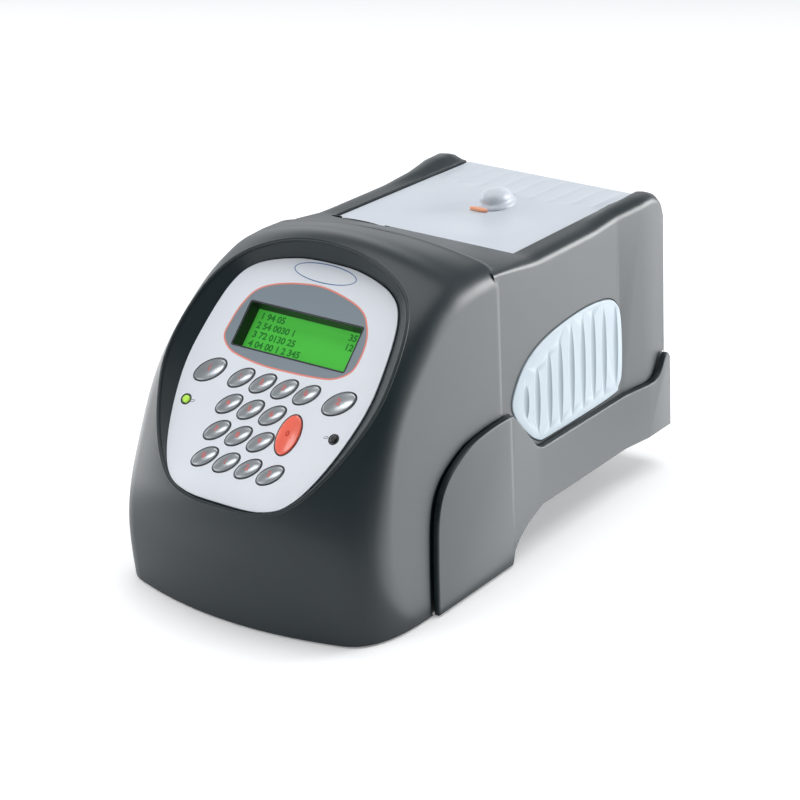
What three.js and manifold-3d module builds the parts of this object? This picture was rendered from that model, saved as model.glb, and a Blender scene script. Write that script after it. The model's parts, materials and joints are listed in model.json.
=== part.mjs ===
// A small bench-top thermal cycler: a rounded hood with a sloped keypad, a box with a hinged
// lid over a sample block behind it, and a tray-shaped base whose cheeks wrap the sides.
// Millimetres. X runs across the case, +Y to its rear and +Z up. The origin is on the table,
// under the middle of the case.

import * as THREE from 'three';
import { mergeVertices } from 'three/addons/utils/BufferGeometryUtils.js';
import Module from 'manifold-3d';

const wasm = await Module();
wasm.setup();

// ---------------------------------------------------------------- driving dimensions

const WALL = 2.8;              // moulded wall of the cover
const GAP = 0.35;              // clearance between neighbouring pieces
const TOUCH = 0.3;             // what is left between two pieces that rest on each other
const GROUND_GAP = 1.2;        // the casing's lower edge above the table

const HALF_WIDTH = 91.5;       // cover, half its width at the table
const DRAFT = 0.0717;          // how far each side leans in for each millimetre of height
const CREASE_Y = -21.5;        // the hood ends here and the box begins
const CREASE_STEP = 0.6;       // the box's sides stand this much inside the hood's
const COVER_REAR_Y = 176.5;
const SHOULDER_RADIUS = 12;    // the hood's upper side edge
const RAIL_RADIUS = 2.5;       // the box's upper side edge
const FLARE = { startY: COVER_REAR_Y - 52, endY: COVER_REAR_Y - 28, depth: 3.3 };

// The hood's outline in the middle plane and along its shoulders, from the table to the crease.
const HOOD_CENTRE = [[-171.5, 0], [-175.2, 37.5], [-178.5, 73.5], [-165.7, 112.7], [-143.3, 145.2],
  [-115.2, 176.1], [-73.6, 198.5], [-49, 198], [CREASE_Y, 192]];
const HOOD_SHOULDER = [[-151, 0], [-155.4, 39.2], [-145.7, 82.2], [-128.1, 127.5], [-94.7, 161.3],
  [-67.1, 176.4], [-43.8, 181.6], [CREASE_Y, 183]];

// The box's top: its height in the middle and at the rails.
const LID_FRONT_Y = 24;
const LID_TOP_Z = 177.5;
const CROWN_TOP = [[CREASE_Y, 192], [2, 184.6], [LID_FRONT_Y, LID_TOP_Z + 0.5]];
const RAIL_TOP = [[CREASE_Y, 180], [LID_FRONT_Y, LID_TOP_Z + 0.5], [COVER_REAR_Y - 30.5, 182.5],
  [COVER_REAR_Y - 13.5, 183.2], [COVER_REAR_Y - 6.5, 181.5], [COVER_REAR_Y - 2, 177.5], [COVER_REAR_Y, 172]];

const PANEL = { y: -125.5, z: 127.5, tilt: THREE.MathUtils.degToRad(46.7) };
const OVERLAY_THICKNESS = 0.8;
const OVERLAY_HALF = [[0, 79], [23, 77.3], [46, 69], [57, 54], [62, 24], [62, -4], [54, -38],
  [42, -62], [26, -71], [0, -72.5]];
const RECESS_SLOPE = { side: 1.27, top: 0.65, foot: 1.2 };

const DISPLAY = { v: 32.1, width: 77, height: 27.8 };
const LCD_MODULE = { halfWidth: 46, halfHeight: 19, depth: 9 };
const KEYPAD_BOARD = { halfWidth: 54, footV: -60, belowDisplay: 21, belowKeys: 1.2 };
const KEY_FLANGE = { height: 1.6, lip: 1 };
const KEY_TOP = { chamfer: 0.7, inset: 1.4 };
const KEY = { halfLength: 8.2, halfHeight: 4.3, turn: 41, pitchU: 15, pitchV: 16.53, columns: 4, rows: 4 };
const SIDE_KEY = { u: 44.4, halfLength: 10.1, halfHeight: 5.6, turn: 38 };
const ENTER_KEY = { halfLength: 6.6, halfHeight: 12, turn: 0 };
const KEY_RISE = 1.5;          // a key's top above the overlay
const KEY_CLEARANCE = 0.4;
const KEY_TRAVEL = 0.8;
const LIGHTS = [{ name: 'power_led', u: -51, v: -20.4, radius: 2.2, colour: 0x9fdc3c },
  { name: 'sensor_led', u: 50.6, v: -20.3, radius: 2.0, colour: 0x15171a }];

const BASE_WALL = 3.6;
const BASE_REAR_Y = COVER_REAR_Y + 2;
const BASE_CREASE_Y = -17;
const BASE_FLOOR = 3;
const BASE_TOP_Z = 62.8;
const BASE_REAR_BOTTOM_Z = 26.5;
const BASE_FRONT_BOTTOM_Z = 4;
const CHEEK_FRONT_Y = -97.5;

const LID = { halfWidth: 63, plate: 2.5, skirt: 2.5, frontDrop: 11.5, sideDrop: 14.5, rearDrop: 27 };
const HINGE = { y: COVER_REAR_Y - 12.5, z: LID_TOP_Z - 14.5, pinRadius: 2, pinGap: 0.35, earHalf: 7 };
const DECK_Z = 148;            // floor of the bay under the lid
const ABOVE_Z = 220;           // higher than any piece
const HINGE_WELL = { frontY: HINGE.y - 24, floorZ: HINGE.z - 20, wallZ: HINGE.z - 16 };

const WELL = { pitch: 9, count: 5, radius: 3.3, tipRadius: 1.6, straight: 6, depth: 17, margin: 6 };
const BLOCK = { y: 100, height: 22, belowDeck: 1.5 };
const PELTIER = { size: 40, height: 3.8 };
const SINK = { width: 100, length: 96, base: 8, height: 48, fins: 12, fin: 2.2 };
const HEATED_PLATE = { margin: 5, height: 6, bottomZ: 153.5, rise: 2.5 };
const PIN_STEM = { spacing: 20, radius: 3 };
const LATCH = { y: 109.5, halfWidth: 13, halfLength: 17.5, height: 11, neckHalf: 5, neckReach: 8, travel: 5,
  boltHalf: 8, boltZ: 171, boltHeight: 2.2, boltStart: 0.3, springRoom: 14 };
const KEEPER = { thickness: 1.2, overlap: 1 };

const VENT = { reach: 28, pitch: 8, halfWidth: 2.2 };
const FAN = { x: 22, y: COVER_REAR_Y - 24.5, z: 96, size: 60, depth: 18, hubRadius: 10, bladeRadius: 26.2, blades: 7 };
const SUPPLY = { width: 110, length: 120, height: 34, y: 66 };
const BOARD = { width: 120, length: 92, thickness: 1.6, y: -72, standoff: 7 };
const FACE_PLATE = 1.8;         // flange of a socket or switch, in front of the cover's rear wall
const MAINS_PINS = [[-7, -2], [0, 2.4], [7, -2]];
const REAR_PANEL = { halfWidth: 76, bottomZ: 46.5, topZ: 142, thickness: 1.5, frame: 4.5 };
const INLET = { x: -48, z: 70.5, width: 27, height: 32, flange: 2.5, depth: 22 };
const SWITCH = { x: -48, z: 103.5, width: 21, height: 21, flange: 2, depth: 12, tilt: 10 };
const PORT = { x: -48, z: 126, width: 31, height: 12.5, shellWidth: 17, shellHeight: 9, reach: 6 };
const SCREW = { x: 67, inset: 8, headRadius: 3, headHeight: 1.6, shankRadius: 1.4, shank: 6 };

const STANDOFF = { inset: 6, radius: 3 };
const FRONT_FOOT = { x: 55, y: -125, radius: 8 };
const REAR_FOOT = { x: 50, y: 140, radius: 11, footRadius: 9 };

const GRIP_PROUD = 0.8;
const GRIP_OUTLINE = [[-6.3, 100.5], [8.1, 117.5], [34, 127.4], [73.5, 131.7], [103, 130.3],
  [118, 125], [124.8, 113], [125.4, 80], [121, 69.6], [110, 65.2], [34.9, 64.6], [21, 66.8],
  [9, 75], [-3.5, 88]];

// ---------------------------------------------------------------- solids

function solidOf(geometry) {
  const bare = geometry.index ? geometry.toNonIndexed() : geometry.clone();
  bare.deleteAttribute('normal');
  bare.deleteAttribute('uv');
  const merged = mergeVertices(bare, 1e-4);
  const faces = [];
  for (let i = 0; i < merged.index.count; i += 3) {
    const [a, b, c] = [0, 1, 2].map((k) => merged.index.getX(i + k));
    if (a !== b && b !== c && c !== a) faces.push(a, b, c);
  }
  const vertProperties = new Float32Array(merged.attributes.position.array);
  return new wasm.Manifold(new wasm.Mesh({ numProp: 3, vertProperties, triVerts: new Uint32Array(faces) }));
}

function joined(solids) {
  return solids.reduce((whole, solid) => whole.add(solid));
}

function cut(solid, cutters) {
  return cutters.reduce((left, cutter) => left.subtract(cutter), solid);
}

function meshOf(name, solid, material) {
  const { vertProperties, triVerts } = solid.getMesh();
  const geometry = new THREE.BufferGeometry();
  geometry.setAttribute('position', new THREE.BufferAttribute(vertProperties, 3));
  geometry.setIndex(new THREE.BufferAttribute(triVerts, 1));
  geometry.computeVertexNormals();
  const mesh = new THREE.Mesh(geometry, material);
  mesh.name = name;
  return mesh;
}

function box(x0, x1, y0, y1, z0, z1) {
  const geometry = new THREE.BoxGeometry(x1 - x0, y1 - y0, z1 - z0);
  geometry.translate((x0 + x1) / 2, (y0 + y1) / 2, (z0 + z1) / 2);
  return solidOf(geometry);
}

// A round bar between two points.
function rod(from, to, radius, endRadius = radius, segments = 16) {
  const start = new THREE.Vector3(...from);
  const along = new THREE.Vector3(...to).sub(start);
  const geometry = new THREE.CylinderGeometry(endRadius, radius, along.length(), segments);
  geometry.translate(0, along.length() / 2, 0);
  geometry.applyQuaternion(new THREE.Quaternion().setFromUnitVectors(
    new THREE.Vector3(0, 1, 0), along.clone().normalize()));
  geometry.translate(...start);
  return solidOf(geometry);
}

// Closed skin through equal loops of points, with a fan over each end.
function loft(loops) {
  const count = loops[0].length;
  const points = loops.flat();
  const faces = [];
  for (let i = 0; i + 1 < loops.length; i += 1) {
    for (let j = 0; j < count; j += 1) {
      const a = i * count + j;
      const b = i * count + ((j + 1) % count);
      faces.push(a, b, b + count, a, b + count, a + count);
    }
  }
  for (const [end, first] of [[0, 0], [1, (loops.length - 1) * count]]) {
    const centre = loops[end ? loops.length - 1 : 0]
      .reduce((sum, point) => sum.add(point), new THREE.Vector3()).divideScalar(count);
    const centreIndex = points.push(centre) - 1;
    for (let j = 0; j < count; j += 1) {
      const pair = [first + j, first + ((j + 1) % count)];
      faces.push(centreIndex, ...(end ? pair : pair.reverse()));
    }
  }
  let volume = 0;
  for (let i = 0; i < faces.length; i += 3) {
    const [a, b, c] = [0, 1, 2].map((k) => points[faces[i + k]]);
    volume += a.dot(new THREE.Vector3().crossVectors(b, c));
  }
  if (volume < 0) faces.reverse();
  const geometry = new THREE.BufferGeometry().setFromPoints(points);
  geometry.setIndex(faces);
  return solidOf(geometry);
}

function shapeOf(points, holes = []) {
  const toVectors = (list) => list.map((point) => (point.isVector2 ? point : new THREE.Vector2(...point)));
  const shape = new THREE.Shape(toVectors(points));
  for (const hole of holes) shape.holes.push(new THREE.Path(toVectors(hole)));
  return shape;
}

function extruded(points, depth, holes = []) {
  return new THREE.ExtrudeGeometry(shapeOf(points, holes), { depth, bevelEnabled: false });
}

// An outline in (y, z), drawn out along X.
function across(outline, x0, x1) {
  const frame = new THREE.Matrix4().makeBasis(
    new THREE.Vector3(0, 1, 0), new THREE.Vector3(0, 0, 1), new THREE.Vector3(1, 0, 0));
  return solidOf(extruded(outline, x1 - x0).applyMatrix4(frame).translate(x0, 0, 0));
}

// An outline in (x, z), drawn out along Y.
function along(outline, y0, y1, holes = []) {
  const frame = new THREE.Matrix4().makeBasis(
    new THREE.Vector3(1, 0, 0), new THREE.Vector3(0, 0, 1), new THREE.Vector3(0, -1, 0));
  return solidOf(extruded(outline, y1 - y0, holes).applyMatrix4(frame).translate(0, y1, 0));
}

function rectangle(u, v, width, height) {
  return [[u - width / 2, v - height / 2], [u + width / 2, v - height / 2],
    [u + width / 2, v + height / 2], [u - width / 2, v + height / 2]];
}

function ellipse({ u, v, halfLength, halfHeight, turn }, grow = 0, segments = 12) {
  const points = [];
  for (let i = 0; i < segments; i += 1) {
    const angle = (i / segments) * Math.PI * 2;
    points.push(new THREE.Vector2((halfLength + grow) * Math.cos(angle), (halfHeight + grow) * Math.sin(angle))
      .rotateAround(new THREE.Vector2(), THREE.MathUtils.degToRad(turn))
      .add(new THREE.Vector2(u, v)));
  }
  return points;
}

function levelLoop(outline, height) {
  return outline.map((point) => new THREE.Vector3(point.x, point.y, height));
}

// ---------------------------------------------------------------- materials

function material(color, roughness, metalness = 0) {
  return new THREE.MeshStandardMaterial({ color, roughness, metalness });
}

const charcoal = material(0x4a5257, 0.45);
const white = material(0xdfe5ec, 0.5);
const overlayGrey = material(0xd3d8de, 0.5);
const keyGrey = material(0x8d959b, 0.35, 0.6);
const red = material(0xe8604c, 0.4);
const green = material(0x6cc04a, 0.3);
const steel = material(0xb6bcc1, 0.35, 0.9);
const aluminium = material(0xc9ccd0, 0.4, 0.8);
const black = material(0x1d1f22, 0.5);
const rubber = material(0x202224, 0.9);
const circuitGreen = material(0x1f6b45, 0.6);
const ceramic = material(0xf1efe8, 0.6);

// ---------------------------------------------------------------- case surfaces

function heightAt(profile, y) {
  const after = profile.findIndex((point) => point[0] >= y);
  if (after === 0) return profile[0][1];
  if (after < 0) return profile.at(-1)[1];
  const [[y0, z0], [y1, z1]] = [profile[after - 1], profile[after]];
  return THREE.MathUtils.mapLinear(y, y0, y1, z0, z1);
}

// Distance from the crease's foot line to a hood profile, at an angle up from the table.
function radiusAt(profile, angle) {
  const curve = new THREE.SplineCurve(profile.map((point) => new THREE.Vector2(...point)));
  const samples = curve.getPoints(120).map((point) => (
    { angle: Math.atan2(point.y, CREASE_Y - point.x), radius: Math.hypot(point.y, CREASE_Y - point.x) }));
  const after = Math.max(1, samples.findIndex((sample) => sample.angle >= angle - 1e-9));
  const [before, next] = [samples[after - 1], samples[after]];
  return THREE.MathUtils.mapLinear(angle, before.angle, next.angle, before.radius, next.radius);
}

const CROWN_STEPS = 5;
const CORNER_STEPS = 4;

// Half an outline from the middle of the crown, over the shoulder and down the side.
function halfOutline({ crown, shoulder, wallAt, cornerAcross, cornerDown }) {
  const wall = wallAt(shoulder);
  const sag = crown - shoulder;
  const crownAt = (x) => crown - sag * (x / wall) ** 2;
  const points = [];
  for (let i = 0; i < CROWN_STEPS; i += 1) {
    const x = ((wall - cornerAcross) * i) / CROWN_STEPS;
    points.push(new THREE.Vector2(x, crownAt(x)));
  }
  const corner = new THREE.QuadraticBezierCurve(
    new THREE.Vector2(wall - cornerAcross, crownAt(wall - cornerAcross)),
    new THREE.Vector2(wall, shoulder),
    new THREE.Vector2(wallAt(shoulder - cornerDown), shoulder - cornerDown));
  points.push(...corner.getPoints(CORNER_STEPS), new THREE.Vector2(wallAt(0), 0));
  return points;
}

function fullLoop(half, place) {
  const left = half.slice(1).reverse().map((point) => place(-point.x, point.y));
  return [...left, ...half.map((point) => place(point.x, point.y))];
}

// The hood: sections fan round the crease's foot line, from the table up to the crease.
function hoodBody(inset) {
  const sections = [];
  const steps = 15;
  for (let i = 0; i <= steps; i += 1) {
    const angle = ((Math.PI / 2) * i) / steps;
    const lowness = Math.max(0, 1 - angle / (Math.PI / 4)) ** 2;
    const half = halfOutline({
      crown: radiusAt(HOOD_CENTRE, angle) - inset,
      shoulder: radiusAt(HOOD_SHOULDER, angle) - inset,
      wallAt: (radius) => HALF_WIDTH - inset - DRAFT * radius * Math.sin(angle),
      cornerAcross: SHOULDER_RADIUS + 8 * lowness,
      cornerDown: SHOULDER_RADIUS + 33 * lowness,
    });
    sections.push(fullLoop(half, (x, radius) => new THREE.Vector3(
      x, CREASE_Y - radius * Math.cos(angle), radius * Math.sin(angle))));
  }
  return loft(sections);
}

function flareAt(y) {
  return FLARE.depth * THREE.MathUtils.clamp((y - FLARE.startY) / (FLARE.endY - FLARE.startY), 0, 1);
}

// The box behind the hood: upright sections from the crease to the rear.
function boxBody(inset) {
  const overlap = 0.2;
  const corners = RAIL_TOP.map(([y]) => y).filter((y) => y > FLARE.endY && y < COVER_REAR_Y - inset);
  const stations = [CREASE_Y - overlap, 2, LID_FRONT_Y, FLARE.startY, FLARE.endY, ...corners,
    COVER_REAR_Y - inset];
  return loft(stations.map((y) => {
    const half = halfOutline({
      crown: heightAt(y > LID_FRONT_Y ? RAIL_TOP : CROWN_TOP, y) - inset,
      shoulder: heightAt(RAIL_TOP, y) - inset,
      wallAt: (z) => HALF_WIDTH - CREASE_STEP - inset - DRAFT * z + flareAt(y),
      cornerAcross: RAIL_RADIUS + inset * 2,
      cornerDown: RAIL_RADIUS + inset * 2,
    });
    return fullLoop(half, (x, z) => new THREE.Vector3(x, y, z));
  }));
}

// A drafted body round the base, from the cheek's front to the rear.
function baseBody(outward, rearY) {
  const top = 110;
  const stations = [CHEEK_FRONT_Y - 20, BASE_CREASE_Y, BASE_CREASE_Y + 0.5, FLARE.startY, FLARE.endY, rearY];
  return loft(stations.map((y) => {
    const step = y > BASE_CREASE_Y ? CREASE_STEP : 0;
    const half = (z) => HALF_WIDTH + outward - step - DRAFT * z + flareAt(y);
    return [[-half(0), 0], [half(0), 0], [half(top), top], [-half(top), top]]
      .map(([x, z]) => new THREE.Vector3(x, y, z));
  }));
}

// ---------------------------------------------------------------- control panel

const panelFrame = new THREE.Matrix4().makeRotationX(PANEL.tilt).setPosition(0, PANEL.y, PANEL.z);

function overlayOutline() {
  const half = OVERLAY_HALF.map((point) => new THREE.Vector2(...point));
  const mirrored = half.slice(1, -1).reverse().map((point) => new THREE.Vector2(-point.x, point.y));
  const curve = new THREE.SplineCurve([...half, ...mirrored, half[0]]);
  return curve.getPoints(40).slice(0, -1);
}

// The outline pushed outwards by an amount that may depend on which way each point faces.
function grown(outline, amountFor) {
  const clockwise = THREE.ShapeUtils.isClockWise(outline);
  return outline.map((point, i) => {
    const next = outline[(i + 1) % outline.length];
    const last = outline[(i + outline.length - 1) % outline.length];
    const run = next.clone().sub(last).normalize();
    const normal = clockwise ? new THREE.Vector2(-run.y, run.x) : new THREE.Vector2(run.y, -run.x);
    return point.clone().addScaledVector(normal, amountFor(normal));
  });
}

const PANEL_FLOOR = -OVERLAY_THICKNESS - TOUCH;

// The recess that the overlay lies in, its walls opening outwards to the hood's surface.
function recessBody(grow) {
  const outline = overlayOutline();
  const slope = (normal) => THREE.MathUtils.lerp(
    RECESS_SLOPE.side, normal.y > 0 ? RECESS_SLOPE.top : RECESS_SLOPE.foot, normal.y ** 2);
  const reach = 60;
  const loops = [[PANEL_FLOOR - grow, 0], [PANEL_FLOOR + reach, reach]].map(([height, rise]) => (
    levelLoop(grown(outline, (normal) => GAP + grow + rise * slope(normal)), height)
      .map((point) => point.applyMatrix4(panelFrame))));
  return loft(loops);
}

function keys() {
  const list = [];
  const rowV = (row) => -KEY.pitchV * row;
  const columnU = (column) => (column - (KEY.columns - 1) / 2) * KEY.pitchU;
  for (let row = 0; row < KEY.rows; row += 1) {
    for (let column = 0; column < KEY.columns; column += 1) {
      const enterSpot = column === KEY.columns - 1 && (row === 1 || row === 2);
      if (enterSpot) continue;
      list.push({ name: `key_row${row + 1}_col${column + 1}`, u: columnU(column), v: rowV(row), ...KEY,
        material: keyGrey });
    }
  }
  list.push({ name: 'key_left', v: 0, ...SIDE_KEY, u: -SIDE_KEY.u, material: keyGrey });
  list.push({ name: 'key_right', v: 0, ...SIDE_KEY, material: keyGrey });
  list.push({ name: 'key_enter', u: columnU(KEY.columns - 1), v: rowV(1.5), ...ENTER_KEY, material: red });
  return list;
}

function keyHoles() {
  return keys().map((key) => ellipse(key, KEY_CLEARANCE));
}

// A moulded key: a flange under the panel floor, a straight neck and a chamfered top.
function keyMesh(key) {
  const flangeTop = PANEL_FLOOR - WALL - TOUCH;
  const flange = ellipse(key, KEY_FLANGE.lip);
  const neck = ellipse(key, 0);
  const loops = [levelLoop(flange, flangeTop - KEY_FLANGE.height), levelLoop(flange, flangeTop),
    levelLoop(neck, flangeTop), levelLoop(neck, KEY_RISE - KEY_TOP.chamfer),
    levelLoop(ellipse(key, -KEY_TOP.inset), KEY_RISE)];
  return meshOf(key.name, loft(loops), key.material);
}

// Everything laid out in the panel's own plane: u across, v up the slope, w out of it.
function panelGroup() {
  const group = new THREE.Group();
  group.position.set(0, PANEL.y, PANEL.z);
  group.rotation.x = PANEL.tilt;

  const windowHole = rectangle(0, DISPLAY.v, DISPLAY.width, DISPLAY.height);
  const lightHoles = LIGHTS.map((light) => (
    ellipse({ ...light, halfLength: light.radius, halfHeight: light.radius, turn: 0 }, GAP)));
  const overlay = extruded(overlayOutline(), OVERLAY_THICKNESS, [windowHole, ...lightHoles, ...keyHoles()])
    .translate(0, 0, -OVERLAY_THICKNESS);
  group.add(meshOf('control_overlay', solidOf(overlay), overlayGrey));

  const pane = rectangle(0, DISPLAY.v, DISPLAY.width - 2 * GAP, DISPLAY.height - 2 * GAP);
  const window = extruded(pane, OVERLAY_THICKNESS).translate(0, 0, -OVERLAY_THICKNESS);
  group.add(meshOf('lcd_window', solidOf(window), material(0xbfd8c0, 0.1)));

  const moduleTop = PANEL_FLOOR - WALL - TOUCH;
  const moduleBody = box(-LCD_MODULE.halfWidth, LCD_MODULE.halfWidth, DISPLAY.v - LCD_MODULE.halfHeight,
    DISPLAY.v + LCD_MODULE.halfHeight, moduleTop - LCD_MODULE.depth, moduleTop);
  group.add(meshOf('lcd_module', moduleBody, green));

  for (const key of keys()) group.add(keyMesh(key));

  const boardTop = moduleTop - KEY_FLANGE.height - KEY_TRAVEL - KEYPAD_BOARD.belowKeys;
  const board = box(-KEYPAD_BOARD.halfWidth, KEYPAD_BOARD.halfWidth, KEYPAD_BOARD.footV,
    DISPLAY.v - KEYPAD_BOARD.belowDisplay, boardTop - BOARD.thickness, boardTop);
  group.add(meshOf('keypad_board', board, circuitGreen));

  for (const light of LIGHTS) {
    const lens = solidOf(new THREE.CylinderGeometry(light.radius, light.radius, 2 - PANEL_FLOOR, 12)
      .rotateX(Math.PI / 2).translate(light.u, light.v, PANEL_FLOOR / 2 - 1 + 0.4));
    group.add(meshOf(light.name, lens, material(light.colour, 0.3)));
  }
  return group;
}

function panelCuts() {
  const depth = 20;
  const outlines = [rectangle(0, DISPLAY.v, DISPLAY.width, DISPLAY.height), ...keyHoles(),
    ...LIGHTS.map((light) => ellipse({ ...light, halfLength: light.radius, halfHeight: light.radius, turn: 0 }, GAP))];
  return joined(outlines.map((outline) => solidOf(
    extruded(outline, depth).translate(0, 0, PANEL_FLOOR - depth / 2).applyMatrix4(panelFrame))));
}

// ---------------------------------------------------------------- cover, base and grips

// The bay under the lid, and the well behind it that the lid's rear skirt swings into.
function lidBay(grow) {
  const side = LID.halfWidth + GAP + grow;
  const beyond = COVER_REAR_Y + 10;
  return joined([
    box(-side, side, LID_FRONT_Y - GAP - grow, HINGE_WELL.frontY + grow + 1, DECK_Z - grow, ABOVE_Z),
    box(-side, side, HINGE_WELL.frontY - grow, COVER_REAR_Y - WALL - grow, HINGE_WELL.floorZ - grow, ABOVE_Z),
    box(-side, side, HINGE_WELL.frontY - grow, beyond, HINGE_WELL.wallZ, ABOVE_Z),
  ]);
}

function gripCutter(grow) {
  const outline = grown(GRIP_OUTLINE.map((point) => new THREE.Vector2(...point)), () => grow);
  const reach = HALF_WIDTH + 20;
  return { left: across(outline, -reach, -HALF_WIDTH / 2), right: across(outline, HALF_WIDTH / 2, reach) };
}

function coverSolid() {
  const outer = hoodBody(0).add(boxBody(0));
  const hollow = hoodBody(WALL).add(boxBody(WALL))
    .subtract(recessBody(WALL))
    .subtract(lidBay(WALL));
  const reach = COVER_REAR_Y + 2 * HALF_WIDTH;
  const blockSide = blockWidth() / 2 + GAP;
  const rearOpening = REAR_PANEL.halfWidth - REAR_PANEL.frame;
  const grips = gripCutter(GAP);
  return cut(outer, [
    hollow, recessBody(0), lidBay(0), panelCuts(), grips.left, grips.right,
    box(-reach, reach, -reach, reach, -10, GROUND_GAP),
    box(-reach, reach, CHEEK_FRONT_Y + 4, BASE_CREASE_Y, -10, BASE_FRONT_BOTTOM_Z + BASE_FLOOR + 2),
    box(-reach, reach, BASE_CREASE_Y - 12, reach, -10, BASE_REAR_BOTTOM_Z + BASE_FLOOR + 4),
    box(-reach, reach, COVER_REAR_Y - WALL - 2, reach, -10, 45),
    box(-blockSide, blockSide, BLOCK.y - blockSide, BLOCK.y + blockSide, DECK_Z - 10, DECK_Z + 5),
    box(-rearOpening, rearOpening, COVER_REAR_Y - WALL - 5, COVER_REAR_Y + 5,
      REAR_PANEL.bottomZ + REAR_PANEL.frame, REAR_PANEL.topZ - REAR_PANEL.frame),
    rod([-reach, HINGE.y, HINGE.z], [reach, HINGE.y, HINGE.z], HINGE.pinRadius + HINGE.pinGap)
      .intersect(box(-LID.halfWidth - WALL - 1, LID.halfWidth + WALL + 1, 0, reach, 0, ABOVE_Z)),
    box(-LATCH.boltHalf - 1, LATCH.boltHalf + 1, LID_FRONT_Y - GAP - 1.6, LID_FRONT_Y,
      LATCH.boltZ - 1.5, LATCH.boltZ + LATCH.boltHeight + 1.5),
  ]);
}

// The base's side outline: cheek, arched top, raised rear skirt with its upturned rear corner.
function baseSideOutline() {
  const arch = new THREE.SplineCurve([[CHEEK_FRONT_Y, GROUND_GAP], [-96.5, 36], [-93.5, 62], [-83.5, 78],
    [-63, 89], [-41.5, 93], [-15, 93.5]].map((point) => new THREE.Vector2(...point)));
  const sweep = new THREE.SplineCurve([[BASE_CREASE_Y, GROUND_GAP], [-11, 11], [2, 20], [20, BASE_REAR_BOTTOM_Z]]
    .map((point) => new THREE.Vector2(...point)));
  return [...arch.getPoints(14), [-7, 89], [8, 73], [15, 66], [22, BASE_TOP_Z],
    [BASE_REAR_Y - 21.5, BASE_TOP_Z], [BASE_REAR_Y - 14.5, BASE_TOP_Z + 3.2], [BASE_REAR_Y - 7.5, BASE_TOP_Z + 12.2],
    [BASE_REAR_Y - 3.5, BASE_TOP_Z + 13.7], [BASE_REAR_Y - 0.5, BASE_TOP_Z + 11], [BASE_REAR_Y, BASE_TOP_Z + 7.7],
    [BASE_REAR_Y, BASE_REAR_BOTTOM_Z], ...sweep.getPoints(6).reverse()];
}

function baseSolid() {
  const reach = HALF_WIDTH + 20;
  const outer = baseBody(BASE_WALL + GAP, BASE_REAR_Y);
  const walls = across(baseSideOutline(), -reach, reach).intersect(outer)
    .subtract(baseBody(GAP, BASE_REAR_Y + 5));
  const floorSide = [[-190, BASE_FRONT_BOTTOM_Z], [BASE_CREASE_Y - 6, BASE_FRONT_BOTTOM_Z],
    [14, BASE_REAR_BOTTOM_Z], [BASE_REAR_Y, BASE_REAR_BOTTOM_Z],
    [BASE_REAR_Y, BASE_REAR_BOTTOM_Z + BASE_FLOOR], [12, BASE_REAR_BOTTOM_Z + BASE_FLOOR],
    [BASE_CREASE_Y - 8, BASE_FRONT_BOTTOM_Z + BASE_FLOOR], [-190, BASE_FRONT_BOTTOM_Z + BASE_FLOOR]];
  const floorPlan = hoodBody(WALL + 2 * GAP)
    .add(baseBody(BASE_WALL / 2, BASE_REAR_Y).subtract(box(-reach, reach, -190, CHEEK_FRONT_Y + 6, -5, 120)));
  const floor = across(floorSide, -reach, reach).intersect(floorPlan);
  const rearWall = box(-reach, reach, BASE_REAR_Y - BASE_WALL, BASE_REAR_Y, BASE_REAR_BOTTOM_Z, 43)
    .intersect(baseBody(BASE_WALL / 2, BASE_REAR_Y));
  const standoffs = [-1, 1].flatMap((x) => [-1, 1].map((y) => {
    const [px, py] = [x * (BOARD.width / 2 - STANDOFF.inset), BOARD.y + y * (BOARD.length / 2 - STANDOFF.inset)];
    return rod([px, py, BASE_FRONT_BOTTOM_Z + 1], [px, py, BASE_FRONT_BOTTOM_Z + BASE_FLOOR + BOARD.standoff],
      STANDOFF.radius, STANDOFF.radius, 8);
  }));
  return joined([walls, floor, rearWall, ...standoffs]);
}

function gripSolid(side) {
  const body = gripCutter(0)[side];
  return body.intersect(boxBody(-GRIP_PROUD)).subtract(boxBody(WALL));
}

// ---------------------------------------------------------------- lid

function lidCoverSolid() {
  const side = LID.halfWidth;
  const top = LID_TOP_Z;
  const inner = side - LID.skirt;
  const rear = COVER_REAR_Y;
  const ear = box(-side, side, HINGE.y - HINGE.earHalf, HINGE.y + HINGE.earHalf, HINGE.z - HINGE.earHalf, top)
    .subtract(box(-inner, inner, 0, rear, 0, top));
  const shell = box(-side, side, LID_FRONT_Y, rear, top - LID.rearDrop, top);
  return cut(shell, [
    box(-inner, inner, LID_FRONT_Y + LID.skirt, rear - LID.skirt, 0, top - LID.plate),
    box(-side - 1, side + 1, LID_FRONT_Y - 1, rear - LID.skirt, 0, top - LID.sideDrop),
    box(-side - 1, side + 1, LID_FRONT_Y - 1, LID_FRONT_Y + LID.skirt, 0, top - LID.frontDrop),
  ]).add(ear).subtract(joined([
    rod([-side - 1, HINGE.y, HINGE.z], [side + 1, HINGE.y, HINGE.z], HINGE.pinRadius + HINGE.pinGap),
    box(-LATCH.boltHalf - GAP, LATCH.boltHalf + GAP, LID_FRONT_Y - 1, LID_FRONT_Y + LID.skirt + 1,
      LATCH.boltZ - GAP, LATCH.boltZ + LATCH.boltHeight + GAP),
    box(-LATCH.neckHalf - GAP, LATCH.neckHalf + GAP, LATCH.y - LATCH.neckReach - GAP, LATCH.y + LATCH.neckReach + LATCH.travel + GAP,
      top - LID.plate - 1, top + 1),
  ]));
}

const LINER = { thickness: 2.4, top: LATCH.boltZ - 2.4 };
const PLATE_TOP = HEATED_PLATE.bottomZ + HEATED_PLATE.height;

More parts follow.
